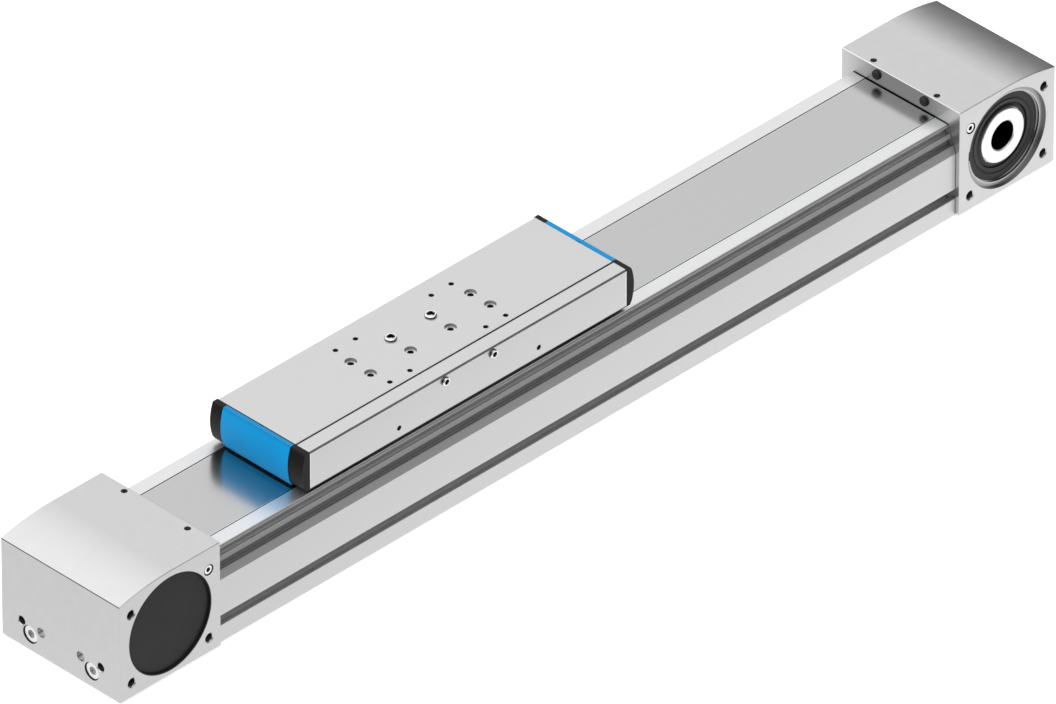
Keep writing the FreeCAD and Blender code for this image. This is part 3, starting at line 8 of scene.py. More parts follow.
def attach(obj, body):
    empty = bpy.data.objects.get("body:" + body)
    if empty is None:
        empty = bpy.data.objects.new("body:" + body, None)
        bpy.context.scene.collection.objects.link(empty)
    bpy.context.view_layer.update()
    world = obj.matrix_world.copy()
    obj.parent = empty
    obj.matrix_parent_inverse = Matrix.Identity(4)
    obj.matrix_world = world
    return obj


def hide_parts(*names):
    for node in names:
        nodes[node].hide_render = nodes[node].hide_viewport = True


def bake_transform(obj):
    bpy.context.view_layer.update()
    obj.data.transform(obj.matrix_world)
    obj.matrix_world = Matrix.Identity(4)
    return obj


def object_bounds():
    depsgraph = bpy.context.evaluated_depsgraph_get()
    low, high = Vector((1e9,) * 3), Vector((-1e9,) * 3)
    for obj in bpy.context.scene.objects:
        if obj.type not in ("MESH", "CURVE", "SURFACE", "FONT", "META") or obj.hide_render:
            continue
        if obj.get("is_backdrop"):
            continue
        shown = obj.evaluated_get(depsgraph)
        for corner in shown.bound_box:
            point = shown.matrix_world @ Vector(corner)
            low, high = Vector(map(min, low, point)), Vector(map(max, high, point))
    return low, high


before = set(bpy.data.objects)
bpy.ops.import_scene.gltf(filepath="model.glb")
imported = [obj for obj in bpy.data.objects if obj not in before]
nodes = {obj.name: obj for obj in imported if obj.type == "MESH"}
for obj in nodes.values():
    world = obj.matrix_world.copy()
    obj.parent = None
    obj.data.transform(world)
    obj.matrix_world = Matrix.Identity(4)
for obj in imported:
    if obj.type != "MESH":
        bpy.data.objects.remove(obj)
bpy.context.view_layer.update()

# Camera and studio.
# A very long lens looks down on the axis from the front left, so parallel edges stay
# nearly parallel. A pale floor below and a bright dome above light the metal, with a
# darker band at eye level that gives the slanted faces their depth.
PHOTO_WIDTH = 1056
FOCAL_PIXELS = 23354.15
SENSOR = 36.0
CLIP_NEAR, CLIP_FAR = 1.0, 60.0
CAMERA_PLACE = Vector((-9.65076, -9.64729, 9.69717))
CAMERA_RIGHT = Vector((0.707074, -0.707139, -0.000363))
CAMERA_DOWN = Vector((-0.408757, -0.408300, -0.816216))
CAMERA_VIEW = Vector((0.57703047, 0.57727396, -0.57774615))
SKY_LEAN_AHEAD, SKY_LEAN_NEAR = 0.35, 0.47
SKY_STOPS = ((-1.5, 0.3), (-0.5, 0.15), (-0.2, 0.04), (0.0, 0.05), (0.16, 0.27), (0.36, 0.78), (0.72, 1.0),
             (0.84, 1.0), (1.0, 0.72))
SKY_REACH = 1.5
SKY_STRENGTH = 1.5

camera_data = bpy.data.cameras.new("studio_camera")
camera_data.sensor_width = SENSOR
camera_data.lens = FOCAL_PIXELS / PHOTO_WIDTH * SENSOR
camera_data.clip_start = CLIP_NEAR
camera_data.clip_end = CLIP_FAR
camera = bpy.data.objects.new("studio_camera", camera_data)
turn = Matrix((CAMERA_RIGHT, -CAMERA_DOWN, -CAMERA_VIEW)).transposed()
camera.matrix_world = Matrix.Translation(CAMERA_PLACE) @ turn.to_4x4()
bpy.context.scene.collection.objects.link(camera)
bpy.context.scene.camera = camera
bpy.context.scene.view_settings.view_transform = "Standard"


def fill(tree, node, inputs):
    """Feeds a node's sockets, by name or number: an output is linked in, a plain value is set."""
    for socket, value in inputs.items():
        if isinstance(value, bpy.types.NodeSocket):
            tree.links.new(value, node.inputs[socket])
        else:
            node.inputs[socket].default_value = value


def put(tree, kind, inputs, **fields):
    """Adds a shader node, sets its own fields, and then feeds its sockets."""
    node = tree.nodes.new("ShaderNode" + kind)
    for field, value in fields.items():
        setattr(node, field, value)
    fill(tree, node, inputs)
    return node


def worked(tree, operation, *values, clamp=False):
    """Output of a Math node on numbers or other nodes' outputs."""
    return put(tree, "Math", dict(enumerate(values)), operation=operation, use_clamp=clamp).outputs[0]


def studio_world(name, lean_ahead, lean_near, stops, strength):
    """Sky whose brightness follows the height z, less lean_ahead times x where x is positive,
    and less lean_near times -y where y is negative: stops are (that number, grey).
    The camera itself sees plain white behind the floor."""
    world = bpy.data.worlds.new(name)
    world.use_nodes = True
    tree = world.node_tree
    place = put(tree, "TexCoord", {})
    parts = put(tree, "SeparateXYZ", {"Vector": place.outputs["Generated"]})
    ahead = worked(tree, "MAXIMUM", parts.outputs["X"], 0.0)
    near = worked(tree, "MINIMUM", parts.outputs["Y"], 0.0)
    lowered = worked(tree, "MULTIPLY_ADD", ahead, -lean_ahead, parts.outputs["Z"])
    height = worked(tree, "MULTIPLY_ADD", near, lean_near, lowered)
    spread = put(tree, "MapRange", {"Value": height, "From Min": -SKY_REACH, "From Max": SKY_REACH})
    ramp = put(tree, "ValToRGB", {"Fac": spread.outputs["Result"]})
    ramp.color_ramp.interpolation = "EASE"
    marks = ramp.color_ramp.elements
    while len(marks) < len(stops):
        marks.new(0.5)
    for mark, (number, grey) in zip(marks, stops):
        mark.position = (number + SKY_REACH) / (2 * SKY_REACH)
        mark.color = (grey, grey, grey, 1)
    sky = tree.nodes["Background"]
    plain = put(tree, "Background", {"Color": (1, 1, 1, 1)})
    path = put(tree, "LightPath", {})
    either = put(tree, "MixShader", {"Fac": path.outputs["Is Camera Ray"], 1: sky.outputs["Background"],
                                     2: plain.outputs["Background"]})
    fill(tree, sky, {"Color": ramp.outputs["Color"], "Strength": strength})
    fill(tree, tree.nodes["World Output"], {"Surface": either.outputs["Shader"]})
    return world


bpy.context.scene.world = studio_world("studio_dome", SKY_LEAN_AHEAD, SKY_LEAN_NEAR, SKY_STOPS, SKY_STRENGTH)


# Profile.
# A long extruded aluminium section, natural anodised, sawn at both ends. The die leaves
# faint lines along its length, and the T-slots and sensor slots show less light. Painted
# shade darkens the slanted shoulders and the lips of their slots, the gap beside the cover
# strip and the ends that meet the heads, and a painted highlight lightens the ledge tops.
PROFILE_END = 0.374
CONTACT_SHADOW_LENGTH = 0.0004
END_SHADE_LENGTH = 0.0009
LEDGE_HEIGHT = 0.0764
GAP_FROM, GAP_TO, GAP_ABOVE = 0.0345, 0.0356, 0.070
SHOULDER_FOOT = (0.0561, 0.0547)
SLOPE_UP = (-0.3366, 0.9416)
SLOPE_SOFT = 0.0004
# Bands of painted shade up the slanted shoulders and the lips of their slots: from, to, grey.
SHOULDER_SHADES = ((-1.0, 0.0066, 0.51), (0.0066, 0.0076, 0.25), (0.0128, 0.0155, 0.57),
                  (0.0225, 0.0235, 0.26))
ANODISED = (0.635, 0.635, 0.64)
# Painted highlight on the tops of the ledges.
LEDGE_HIGHLIGHT = (0.77, 0.77, 0.775)
# Painted shade, tinted teal, in the gap beside the cover strip.
STRIP_GAP_SHADE = (0.010, 0.060, 0.085)
# Painted shadow round the profile's ends, where they meet the heads.
END_CONTACT_SHADOW = (0.04, 0.04, 0.042)
DEEP_SHADE = (0.004, 0.004, 0.004)
NOISE_LOW, NOISE_HIGH = 0.3, 0.7
ALONG, ACROSS, UP = (1, 0, 0), (0, 1, 0), (0, 0, 1)


def effect_group(name, inputs, outputs):
    """Empty shader node group with named sockets, what its input node gives, and its output node."""
    group = bpy.data.node_groups.new(name, "ShaderNodeTree")
    for label, kind, value in inputs:
        socket = group.interface.new_socket(label, in_out="INPUT", socket_type="NodeSocket" + kind)
        if value is not None:
            socket.default_value = value
    for label, kind in outputs:
        group.interface.new_socket(label, in_out="OUTPUT", socket_type="NodeSocket" + kind)
    return group, group.nodes.new("NodeGroupInput").outputs, group.nodes.new("NodeGroupOutput")


def skin_group(name, grain_kind):
    """Effect group of a surface's skin, still empty, whose grain is a Vector or a Float."""
    return effect_group(
        name,
        (("Vector", "Vector", None), ("Grain", grain_kind, None), ("Colour", "Color", None),
         ("Contrast", "Float", None), ("Roughness", "Float", None), ("Spread", "Float", None)),
        (("Colour", "Color"), ("Roughness", "Float"), ("Height", "Float")))


def skin_results(group, given, result, noise, relief):
    """Colour times a shade that rises from 1 less Contrast to 1 with the noise, Roughness plus
    Spread times the noise, and the relief as height."""
    low = worked(group, "SUBTRACT", 1.0, given["Contrast"])
    shade = put(group, "MapRange", {"Value": noise, "From Min": NOISE_LOW, "From Max": NOISE_HIGH,
                                    "To Min": low, "To Max": 1.0})
    tint = put(group, "Mix", {"Factor": 1.0, "A": given["Colour"], "B": shade.outputs["Result"]},
               data_type="RGBA", blend_type="MULTIPLY")
    gloss = worked(group, "MULTIPLY_ADD", noise, given["Spread"], given["Roughness"])
    fill(group, result, {"Colour": tint.outputs["Result"], "Roughness": gloss, "Height": relief})


def drawn_lines_group():
    """Fine streaks that run along one axis: noise stretched by the Grain vector."""
    group, given, result = skin_group("drawn_lines", "Vector")
    stretched = put(group, "VectorMath", {0: given["Vector"], 1: given["Grain"]}, operation="MULTIPLY")
    streaks = put(group, "TexNoise", {"Vector": stretched.outputs["Vector"], "Scale": 1.0, "Detail": 3.0})
    skin_results(group, given, result, noise=streaks.outputs["Fac"], relief=streaks.outputs["Fac"])
    return group


def band_mark_group():
    """Mask that is one where the distance from Origin, measured along Direction either way,
    lies between From and To, at heights over Above, with edges Soft wide. Away from the
    middle plane it fades out round Within, over a width of Fade."""
    group, given, result = effect_group(
        "band_mark",
        (("Vector", "Vector", None), ("Origin", "Vector", (0, 0, 0)), ("Direction", "Vector", None),
         ("From", "Float", -1.0), ("To", "Float", 2.0), ("Above", "Float", -1.0), ("Soft", "Float", 0.0002),
         ("Within", "Float", 2.0), ("Fade", "Float", 1.0)),
        (("Mask", "Float"),))
    away = put(group, "VectorMath", {0: given["Vector"], 1: given["Origin"]}, operation="SUBTRACT")
    along = put(group, "VectorMath", {0: away.outputs["Vector"], 1: given["Direction"]},
                operation="DOT_PRODUCT")
    distance = worked(group, "ABSOLUTE", along.outputs["Value"])
    parts = put(group, "SeparateXYZ", {"Vector": given["Vector"]})
    aside = worked(group, "ABSOLUTE", parts.outputs["Y"])
    mask = 1.0
    for measure, edge, sign, width in ((distance, "From", 1, "Soft"), (distance, "To", -1, "Soft"),
                                       (parts.outputs["Z"], "Above", 1, "Soft"),
                                       (aside, "Within", -1, "Fade")):
        past = worked(group, "SUBTRACT", measure, given[edge])
        share = worked(group, "DIVIDE", past, given[width])
        step = worked(group, "MULTIPLY_ADD", share, sign, 0.5, clamp=True)
        mask = worked(group, "MULTIPLY", mask, step)
    fill(group, result, {"Mask": mask})
    return group


def band(colour, direction, **settings):
    """Mark of finish_material in one colour, on a band that lies square to the direction."""
    return band_mark, {"Direction": direction, **settings}, colour


def finish_material(name, skin, colour, grain, contrast, roughness, spread, metallic, bump, depth=0.00005,
                    specular=0.5, marks=()):
    """Principled material whose colour, roughness and bump come from one skin group.
    Each mark is (mask group, its settings, colour) and is laid over the colour."""
    material = bpy.data.materials.new(name)
    material.use_nodes = True
    tree = material.node_tree
    place = put(tree, "TexCoord", {}).outputs["Object"]
    effect = put(tree, "Group",
                 {"Vector": place, "Grain": grain, "Colour": (*colour, 1), "Contrast": contrast,
                  "Roughness": roughness, "Spread": spread}, node_tree=skin)
    tint = effect.outputs["Colour"]
    for mask_group, settings, mark_colour in marks:
        mask = put(tree, "Group", {"Vector": place, **settings}, node_tree=mask_group)
        over = put(tree, "Mix", {"Factor": mask.outputs["Mask"], "A": tint, "B": (*mark_colour, 1)},
                   data_type="RGBA")
        tint = over.outputs["Result"]
    relief = put(tree, "Bump", {"Strength": bump, "Distance": depth, "Height": effect.outputs["Height"]})
    fill(tree, tree.nodes["Principled BSDF"],
         {"Base Color": tint, "Metallic": metallic, "Roughness": effect.outputs["Roughness"],
          "Specular IOR Level": specular, "Normal": relief.outputs["Normal"]})
    return material


def dress(material, *names):
    """Gives CAD nodes their material."""
    for name in names:
        slots = nodes[name].data.materials
        slots.clear()
        slots.append(material)


drawn_lines = drawn_lines_group()
band_mark = band_mark_group()
# Painted shade on both slanted shoulders.
shoulder_shade_marks = []
for side in (-1, 1):
    foot = (0, side * SHOULDER_FOOT[0], SHOULDER_FOOT[1])
    for low, high, grey in SHOULDER_SHADES:
        shoulder_shade_marks.append(band((grey, grey, grey), (0, side * SLOPE_UP[0], SLOPE_UP[1]), Origin=foot,
                                   From=low, To=high, Above=SHOULDER_FOOT[1], Soft=SLOPE_SOFT))
extruded = finish_material(
    "extruded_aluminium", drawn_lines, ANODISED, grain=(3, 1500, 1500), contrast=0.05, roughness=0.36,
    spread=0.06, metallic=0.92, bump=0.08, depth=0.0001,
    marks=(*shoulder_shade_marks,
           band(LEDGE_HIGHLIGHT, UP, From=LEDGE_HEIGHT),
           band(STRIP_GAP_SHADE, ACROSS, From=GAP_FROM, To=GAP_TO, Above=GAP_ABOVE),
           band(END_CONTACT_SHADOW, ALONG, From=PROFILE_END - CONTACT_SHADOW_LENGTH),
           band(DEEP_SHADE, ALONG, From=PROFILE_END - END_SHADE_LENGTH, Above=LEDGE_HEIGHT)))
dress(extruded, "profile_extrusion")


# Guide rail and magnetic strips.
# The rail is hardened and ground steel, screwed to the floor of the channel. Black
# magnetic rubber strips are pressed into the ledges and hold the cover strip down.
GROUND_STEEL = (0.45, 0.45, 0.46)
MAGNET_BLACK = (0.008, 0.022, 0.028)


def fine_grain_group():
    """Even small-scale mottle of blasted, moulded and rubber skins: a noise at the Grain scale
    for the relief, and one fifty times coarser for colour and roughness."""
    group, given, result = skin_group("fine_grain", "Float")
    small = put(group, "TexNoise", {"Vector": given["Vector"], "Scale": given["Grain"], "Detail": 2.0})
    coarser = worked(group, "MULTIPLY", given["Grain"], 0.02)
    large = put(group, "TexNoise", {"Vector": given["Vector"], "Scale": coarser, "Detail": 2.0})
    skin_results(group, given, result, noise=large.outputs["Fac"], relief=small.outputs["Fac"])
    return group


fine_grain = fine_grain_group()
ground_steel = finish_material(
    "ground_steel", drawn_lines, GROUND_STEEL, grain=(20, 3000, 3000), contrast=0.1, roughness=0.22,
    spread=0.1, metallic=1.0, bump=0.05)
magnet = finish_material(
    "magnetic_rubber", fine_grain, MAGNET_BLACK, grain=2500.0, contrast=0.2, roughness=0.6,
    spread=0.1, metallic=0.0, bump=0.2, depth=0.0001)
dress(ground_steel, "guide_rail")
dress(magnet, "magnetic_strips")


# Screws.
# Socket head screws, turned and rolled from steel with a bright zinc coat. The four long
# ones in the end faces tie the heads to the profile, and the others sit inside.
ZINC = (0.55, 0.56, 0.58)
BRIGHT_ZINC = (0.86, 0.87, 0.88)
SOCKET_SHADE = (0.68, 0.68, 0.69)
TIE_SCREW = (0, 0.0312, 0.0153)
TIE_SOCKET, TIE_SOCKET_FLOOR = 0.0033, 0.0012
END_ON, FROM_ABOVE = (0, 1, 1), (1, 1, 0)


def round_mark_group():
    """Mask that is one within Radius of Centre, seen along the axis that Plane leaves out.
    Places mirrored about Origin are folded together: signs are dropped before Centre is taken."""
    group, given, result = effect_group(
        "round_mark",
        (("Vector", "Vector", None), ("Origin", "Vector", (0, 0, 0)), ("Centre", "Vector", None),
         ("Plane", "Vector", (1, 0, 1)), ("Radius", "Float", None), ("Soft", "Float", 0.0001)),
        (("Mask", "Float"),))
    spot = put(group, "VectorMath", {0: given["Vector"], 1: given["Origin"]}, operation="SUBTRACT")
    spot = put(group, "VectorMath", {0: spot.outputs["Vector"]}, operation="ABSOLUTE")
    spot = put(group, "VectorMath", {0: spot.outputs["Vector"], 1: given["Centre"]}, operation="SUBTRACT")
    spot = put(group, "VectorMath", {0: spot.outputs["Vector"], 1: given["Plane"]}, operation="MULTIPLY")
    reach = put(group, "VectorMath", {0: spot.outputs["Vector"]}, operation="LENGTH")
    left = worked(group, "SUBTRACT", given["Radius"], reach.outputs["Value"])
    share = worked(group, "DIVIDE", left, given["Soft"])
    fill(group, result, {"Mask": worked(group, "ADD", share, 0.5, clamp=True)})
    return group


def disc(colour, centre, radius, **settings):
    """Mark of finish_material in one colour, on a round spot and its mirrored places."""
    return round_mark, {"Centre": centre, "Radius": radius, **settings}, colour


round_mark = round_mark_group()
zinc = finish_material(
    "zinc_coat", fine_grain, ZINC, grain=1800.0, contrast=0.12, roughness=0.25,
    spread=0.15, metallic=1.0, bump=0.05)
bright_zinc = finish_material(
    "bright_zinc", fine_grain, BRIGHT_ZINC, grain=1800.0, contrast=0.08, roughness=0.22,
    spread=0.1, metallic=1.0, bump=0.05,
    marks=(disc(SOCKET_SHADE, TIE_SCREW, TIE_SOCKET, Plane=END_ON),
           disc(BRIGHT_ZINC, TIE_SCREW, TIE_SOCKET_FLOOR, Plane=END_ON)))
dress(zinc, "rail_screws", "base_screws", "guide_block_screws", "belt_clamp_screws", "end_cap_screws")
dress(bright_zinc, "drive_tie_screws", "idler_tie_screws")


# Cover strip.
# A thin band of bright rolled stainless steel. It lies flat in the profile's top, is
# held at both ends by the heads, and rises over the carriage inside the slide.
STRIP_HALF_WIDTH = 0.0347
STRIP_UNDERSIDE = 0.0763
STRIP_THICKNESS = 0.0005
STRIP_EASE = 0.3
STRIP_RAISED = 0.0860
RAMP_TOP = 0.092
RAMP_FOOT = 0.150
STRIP_END = 0.384
STRIP_HIGHLIGHT_FROM = 0.0343
STRIP_SHADE_FROM = 0.3728
SLIDE_CENTRE = -0.1155
STRIP_STEEL = (0.51, 0.51, 0.51)
# Painted highlight, tinted cyan, on the strip's eased edges.
STRIP_EDGE_HIGHLIGHT = (0.90, 1.0, 1.0)


def add_piece(name, points, faces, material):
    """Puts points and faces into a mesh object at the origin."""
    mesh = bpy.data.meshes.new(name)
    mesh.from_pydata(points.tolist(), [], faces)
    mesh.update()
    mesh.materials.append(material)
    piece = bpy.data.objects.new(name, mesh)
    bpy.context.scene.collection.objects.link(piece)
    return piece


def swept_loop(rings):
    """Faces between closed rings of points, rings being (stations, corners, 3), with both ends capped."""
    stations, corners = rings.shape[:2]
    index = np.arange(stations * corners).reshape(stations, corners)
    turned = np.roll(index, -1, axis=1)
    quads = np.stack([index[:-1], turned[:-1], turned[1:], index[1:]], axis=-1).reshape(-1, 4)
    caps = [index[0][::-1].tolist(), index[-1].tolist()]
    return rings.reshape(-1, 3), quads.tolist() + caps


def band_across(half_width, ease):
    """Places across a band of its section's eight corners, the two flat sides drawn in by the ease."""
    return np.array([-1, 1, 1, 1, 1, -1, -1, -1]) * half_width + np.array([1, -1, 0, 0, -1, 1, 0, 0]) * ease


def strip_height(from_centre):
    """Underside of the strip: flat, then two equal arcs back to back, then the raised flat."""
    distance = np.abs(from_centre)
    rise = STRIP_RAISED - STRIP_UNDERSIDE
    run = RAMP_FOOT - RAMP_TOP
    radius = (run ** 2 + rise ** 2) / (4 * rise)
    into_crest = np.clip(distance - RAMP_TOP, 0, run / 2)
    into_foot = np.clip(RAMP_FOOT - distance, 0, run / 2)
    crest = STRIP_RAISED - radius + np.sqrt(radius ** 2 - into_crest ** 2)
    foot = STRIP_UNDERSIDE + radius - np.sqrt(radius ** 2 - into_foot ** 2)
    return np.where(distance < RAMP_TOP + run / 2, crest, foot)


def strip_half(name, x_from, x_to, stations):
    """Band section of eight corners with eased edges, carried along the strip's height line."""
    x = np.linspace(x_from, x_to, stations)
    z = strip_height(x - SLIDE_CENTRE)
    slope = np.gradient(z, x)
    across = band_across(STRIP_HALF_WIDTH, STRIP_EASE * STRIP_THICKNESS)
    up = np.array([0, 0, STRIP_EASE, 1 - STRIP_EASE, 1, 1, 1 - STRIP_EASE, STRIP_EASE]) * STRIP_THICKNESS
    length = np.sqrt(1 + slope ** 2)
    px = x[:, None] - up[None, :] * (slope / length)[:, None]
    pz = z[:, None] + up[None, :] * (1 / length)[:, None]
    py = np.broadcast_to(across, px.shape)
    points, faces = swept_loop(np.stack([px, py, pz], axis=-1))
    return add_piece(name, points, faces, rolled_steel)


rolled_steel = finish_material(
    "rolled_stainless", drawn_lines, STRIP_STEEL, grain=(4, 2500, 2500), contrast=0.05, roughness=0.17,
    spread=0.07, metallic=1.0, bump=0.03,
    marks=(band(STRIP_EDGE_HIGHLIGHT, ACROSS, From=STRIP_HIGHLIGHT_FROM),
           band(DEEP_SHADE, ALONG, From=STRIP_SHADE_FROM)))
strip_right = strip_half("cover_strip_right", SLIDE_CENTRE, STRIP_END, 260)
strip_left = strip_half("cover_strip_left", -STRIP_END, SLIDE_CENTRE, 160)
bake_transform(strip_right)
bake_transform(strip_left)
for strip in (strip_right, strip_left):
    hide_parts("cover_strip")


# Heads.
# Machined aluminium housings, natural anodised to a soft satin, one at each end of the
# profile. Their faces are milled and blasted, and each edge is broken by a fine bevel.
SHAFT_X, SHAFT_Z = 0.4235, 0.0462
HEAD_END = 0.473
HEAD_HALF_WIDTH = 0.060
JOINT_FACE_FROM, JOINT_FACE_TO = 0.3739, 0.37415
JOINT_FACE_WITHIN, JOINT_FACE_FADE = 0.045, 0.034
INNER_EDGE_LENGTH, INNER_EDGE_ABOVE = 0.0006, 0.0913
NOSE_FROM, NOSE_ABOVE = 0.4728, 0.0841
BORE_RADIUS = 0.04055
PORT_X, PORT_Z, PORT_RADIUS = 0.3854, 0.0732, 0.00455
COUNTERBORE_RADIUS = 0.00727
HEAD_ALUMINIUM = (0.605, 0.605, 0.605)
# Painted shade on the heads' inner faces beside the profile.
HEAD_INNER_FACE_SHADE = (0.32, 0.32, 0.32)
# Painted shade in the bearing bores.
HEAD_BORE_SHADE = (0.32, 0.32, 0.325)
# Painted highlight on edges: the heads' top inner edges and the side bar's end corners.
EDGE_HIGHLIGHT = (1.0, 1.0, 1.0)
# Painted shade along the top edge of the heads' end faces.
NOSE_EDGE_SHADE = (0.10, 0.10, 0.10)
shaft = (SHAFT_X, 0, SHAFT_Z)
port = (PORT_X, 0, PORT_Z)
# The marks paint shade on the inner faces, bores, ports, counterbores and top end edges, and a highlight on
# the top inner edges.
satin = finish_material(
    "satin_anodised", fine_grain, HEAD_ALUMINIUM, grain=5000.0, contrast=0.03, roughness=0.26,
    spread=0.05, metallic=0.92, bump=0.02,
    marks=(band(HEAD_INNER_FACE_SHADE, ALONG, From=JOINT_FACE_FROM, To=JOINT_FACE_TO, Within=JOINT_FACE_WITHIN,
                Fade=JOINT_FACE_FADE),
           band(EDGE_HIGHLIGHT, ALONG, Origin=(PROFILE_END, 0, 0), To=INNER_EDGE_LENGTH, Above=INNER_EDGE_ABOVE),
           band(NOSE_EDGE_SHADE, ALONG, From=NOSE_FROM, Above=NOSE_ABOVE),
           disc(HEAD_BORE_SHADE, shaft, BORE_RADIUS),
           disc(DEEP_SHADE, port, PORT_RADIUS),
           disc(DEEP_SHADE, TIE_SCREW, COUNTERBORE_RADIUS, Plane=END_ON)))
dress(satin, "drive_head_housing", "idler_head_housing")


# Tapped holes.
# Threads cut into the heads for mounting screws, coloured dark as painted shade for their
# depth, with the crest of each turn catching a little light. The ends run out where the
# tap stopped.
# Painted shade for the depth of the tapped holes.
THREAD_SHADE = (0.07, 0.07, 0.07)
THREAD_CLEARANCE = 0.00003
THREAD_WALL = 0.0002
THREAD_RISE = 0.25
STATIONS_PER_TURN = 6
FLANGE_HOLES = ((-0.0381, 0.0142), (0.0381, 0.0142), (0.0381, 0.0732))
END_HOLE_Y, END_HOLE_Z = 0.040, 0.0231
FLANGE_THREAD = {"core_radius": 0.0034, "pitch": 0.00125, "start": 0.0009, "end": 0.0152, "around": 24}
END_THREAD = {"core_radius": 0.0034, "pitch": 0.00125, "start": 0.0007, "end": 0.0152, "around": 24}
tapped = finish_material(
    "tapped_thread", fine_grain, THREAD_SHADE, grain=3000.0, contrast=0.1, roughness=0.3,
    spread=0.1, metallic=0.9, bump=0.05)


def thread_sleeve(mouth, inward, core_radius, pitch, start, end, around):
    """Closed thin sleeve along inward from the mouth point, between depths start and end.
    Outside: radius just under the core radius. Inside: that radius less the wall and less a
    triangle wave of depth / pitch - angle / turn, which fades to nothing at both ends."""
    inward = np.array(inward, dtype=float)
    across = np.cross(inward, [0.0, 0.0, 1.0] if abs(inward[2]) < 0.5 else [1.0, 0.0, 0.0])
    up = np.cross(inward, across)
    turn = np.arange(around) / around
    depth = np.linspace(start, end, int(STATIONS_PER_TURN * (end - start) / pitch) + 1)
    run_out = np.clip(np.minimum(depth - start, end - depth) / pitch, 0, 1)
    wave = 1 - 2 * np.abs((depth[:, None] / pitch - turn[None, :]) % 1 - 0.5)
    outer = core_radius - THREAD_CLEARANCE
    inner = outer - THREAD_WALL - THREAD_RISE * pitch * run_out[:, None] * wave
    radius = np.concatenate([np.full((2, around), outer), inner[::-1]])
    place = np.concatenate([[start, end], depth[::-1]])
    angle = 2 * np.pi * turn
    spoke = np.cos(angle)[:, None] * across + np.sin(angle)[:, None] * up
    return np.array(mouth) + radius[..., None] * spoke[None] + place[:, None, None] * inward


def closed_tube(rings):
    """Faces between rings of points that close both round the ring and from last to first."""
    index = np.arange(rings.shape[0] * rings.shape[1]).reshape(rings.shape[:2])
    onward, turned = np.roll(index, -1, axis=0), np.roll(index, -1, axis=1)
    both = np.roll(onward, -1, axis=1)
    quads = np.stack([index, turned, both, onward], axis=-1).reshape(-1, 4)
    return rings.reshape(-1, 3), quads


def threads(name, holes):
    """One piece with a sleeve for each hole, the holes being thread_sleeve's arguments."""
    points, faces, count = [], [], 0
    for hole in holes:
        some_points, some_faces = closed_tube(thread_sleeve(**hole))
        points.append(some_points)
        faces.append(some_faces + count)
        count += len(some_points)
    return add_piece(name, np.concatenate(points), np.concatenate(faces).tolist(), tapped)


for end_name, x_sign in (("drive", 1), ("idler", -1)):
    holes = []
    for y_sign in (-1, 1):
        for dx, z in FLANGE_HOLES:
            mouth = (x_sign * (SHAFT_X + dx), y_sign * HEAD_HALF_WIDTH, z)
            holes.append({"mouth": mouth, "inward": (0, -y_sign, 0), **FLANGE_THREAD})
        mouth = (x_sign * HEAD_END, y_sign * END_HOLE_Y, END_HOLE_Z)
        holes.append({"mouth": mouth, "inward": (-x_sign, 0, 0), **END_THREAD})
    piece = threads(end_name + "_head_threads", holes)
    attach(piece, "root")


# Head fittings.
# Brass pads and black oxide set screws hold the strip, rubber buffers stop the slide,
# set screws close the air ports, and moulded caps cover the unused bearing bores.
CAP_RIM_RADIUS, CAP_FACE_RADIUS, CAP_FACE_SOFT = 0.1, 0.0390, 0.0004
PLUG_SOCKET_RADIUS = 0.0019
BLACK_OXIDE = (0.035, 0.035, 0.037)
PLUG_STEEL = (0.95, 0.95, 0.95)
# Painted shade in the port plugs' sockets.
PLUG_SOCKET_SHADE = (0.09, 0.09, 0.09)
BUFFER_RUBBER = (0.018, 0.018, 0.018)
CAP_PLASTIC = (0.0145, 0.0145, 0.0145)
# Painted shade on the cap's rim, outside the face radius.
CAP_RIM_SHADE = (0.002, 0.002, 0.002)
PAD_BRASS = (0.60, 0.42, 0.16)
oxide = finish_material(
    "black_oxide", fine_grain, BLACK_OXIDE, grain=1800.0, contrast=0.2, roughness=0.32,
    spread=0.2, metallic=0.8, bump=0.08)
rubber = finish_material(
    "buffer_rubber", fine_grain, BUFFER_RUBBER, grain=2500.0, contrast=0.2, roughness=0.55,
    spread=0.15, metallic=0.0, bump=0.15, depth=0.0001)
cap_plastic = finish_material(
    "cap_plastic", fine_grain, CAP_PLASTIC, grain=3000.0, contrast=0.1, roughness=0.5,
    spread=0.1, metallic=0.0, bump=0.12, depth=0.0001, specular=0.3,
    marks=(disc(CAP_RIM_SHADE, shaft, CAP_RIM_RADIUS),
           disc(CAP_PLASTIC, shaft, CAP_FACE_RADIUS, Soft=CAP_FACE_SOFT)))
brass = finish_material(
    "turned_brass", fine_grain, PAD_BRASS, grain=1500.0, contrast=0.1, roughness=0.28,
    spread=0.1, metallic=1.0, bump=0.05)
plug_steel = finish_material(
    "port_plug_steel", fine_grain, PLUG_STEEL, grain=1800.0, contrast=0.05, roughness=0.25,
    spread=0.1, metallic=0.9, bump=0.05,
    marks=(disc(PLUG_SOCKET_SHADE, port, PLUG_SOCKET_RADIUS),))
dress(oxide, "strip_clamp_screws")
dress(plug_steel, "port_plugs")
dress(rubber, "end_buffers")
dress(cap_plastic, "drive_far_cap", "idler_near_cap", "idler_far_cap")
dress(brass, "strip_clamp_pads")


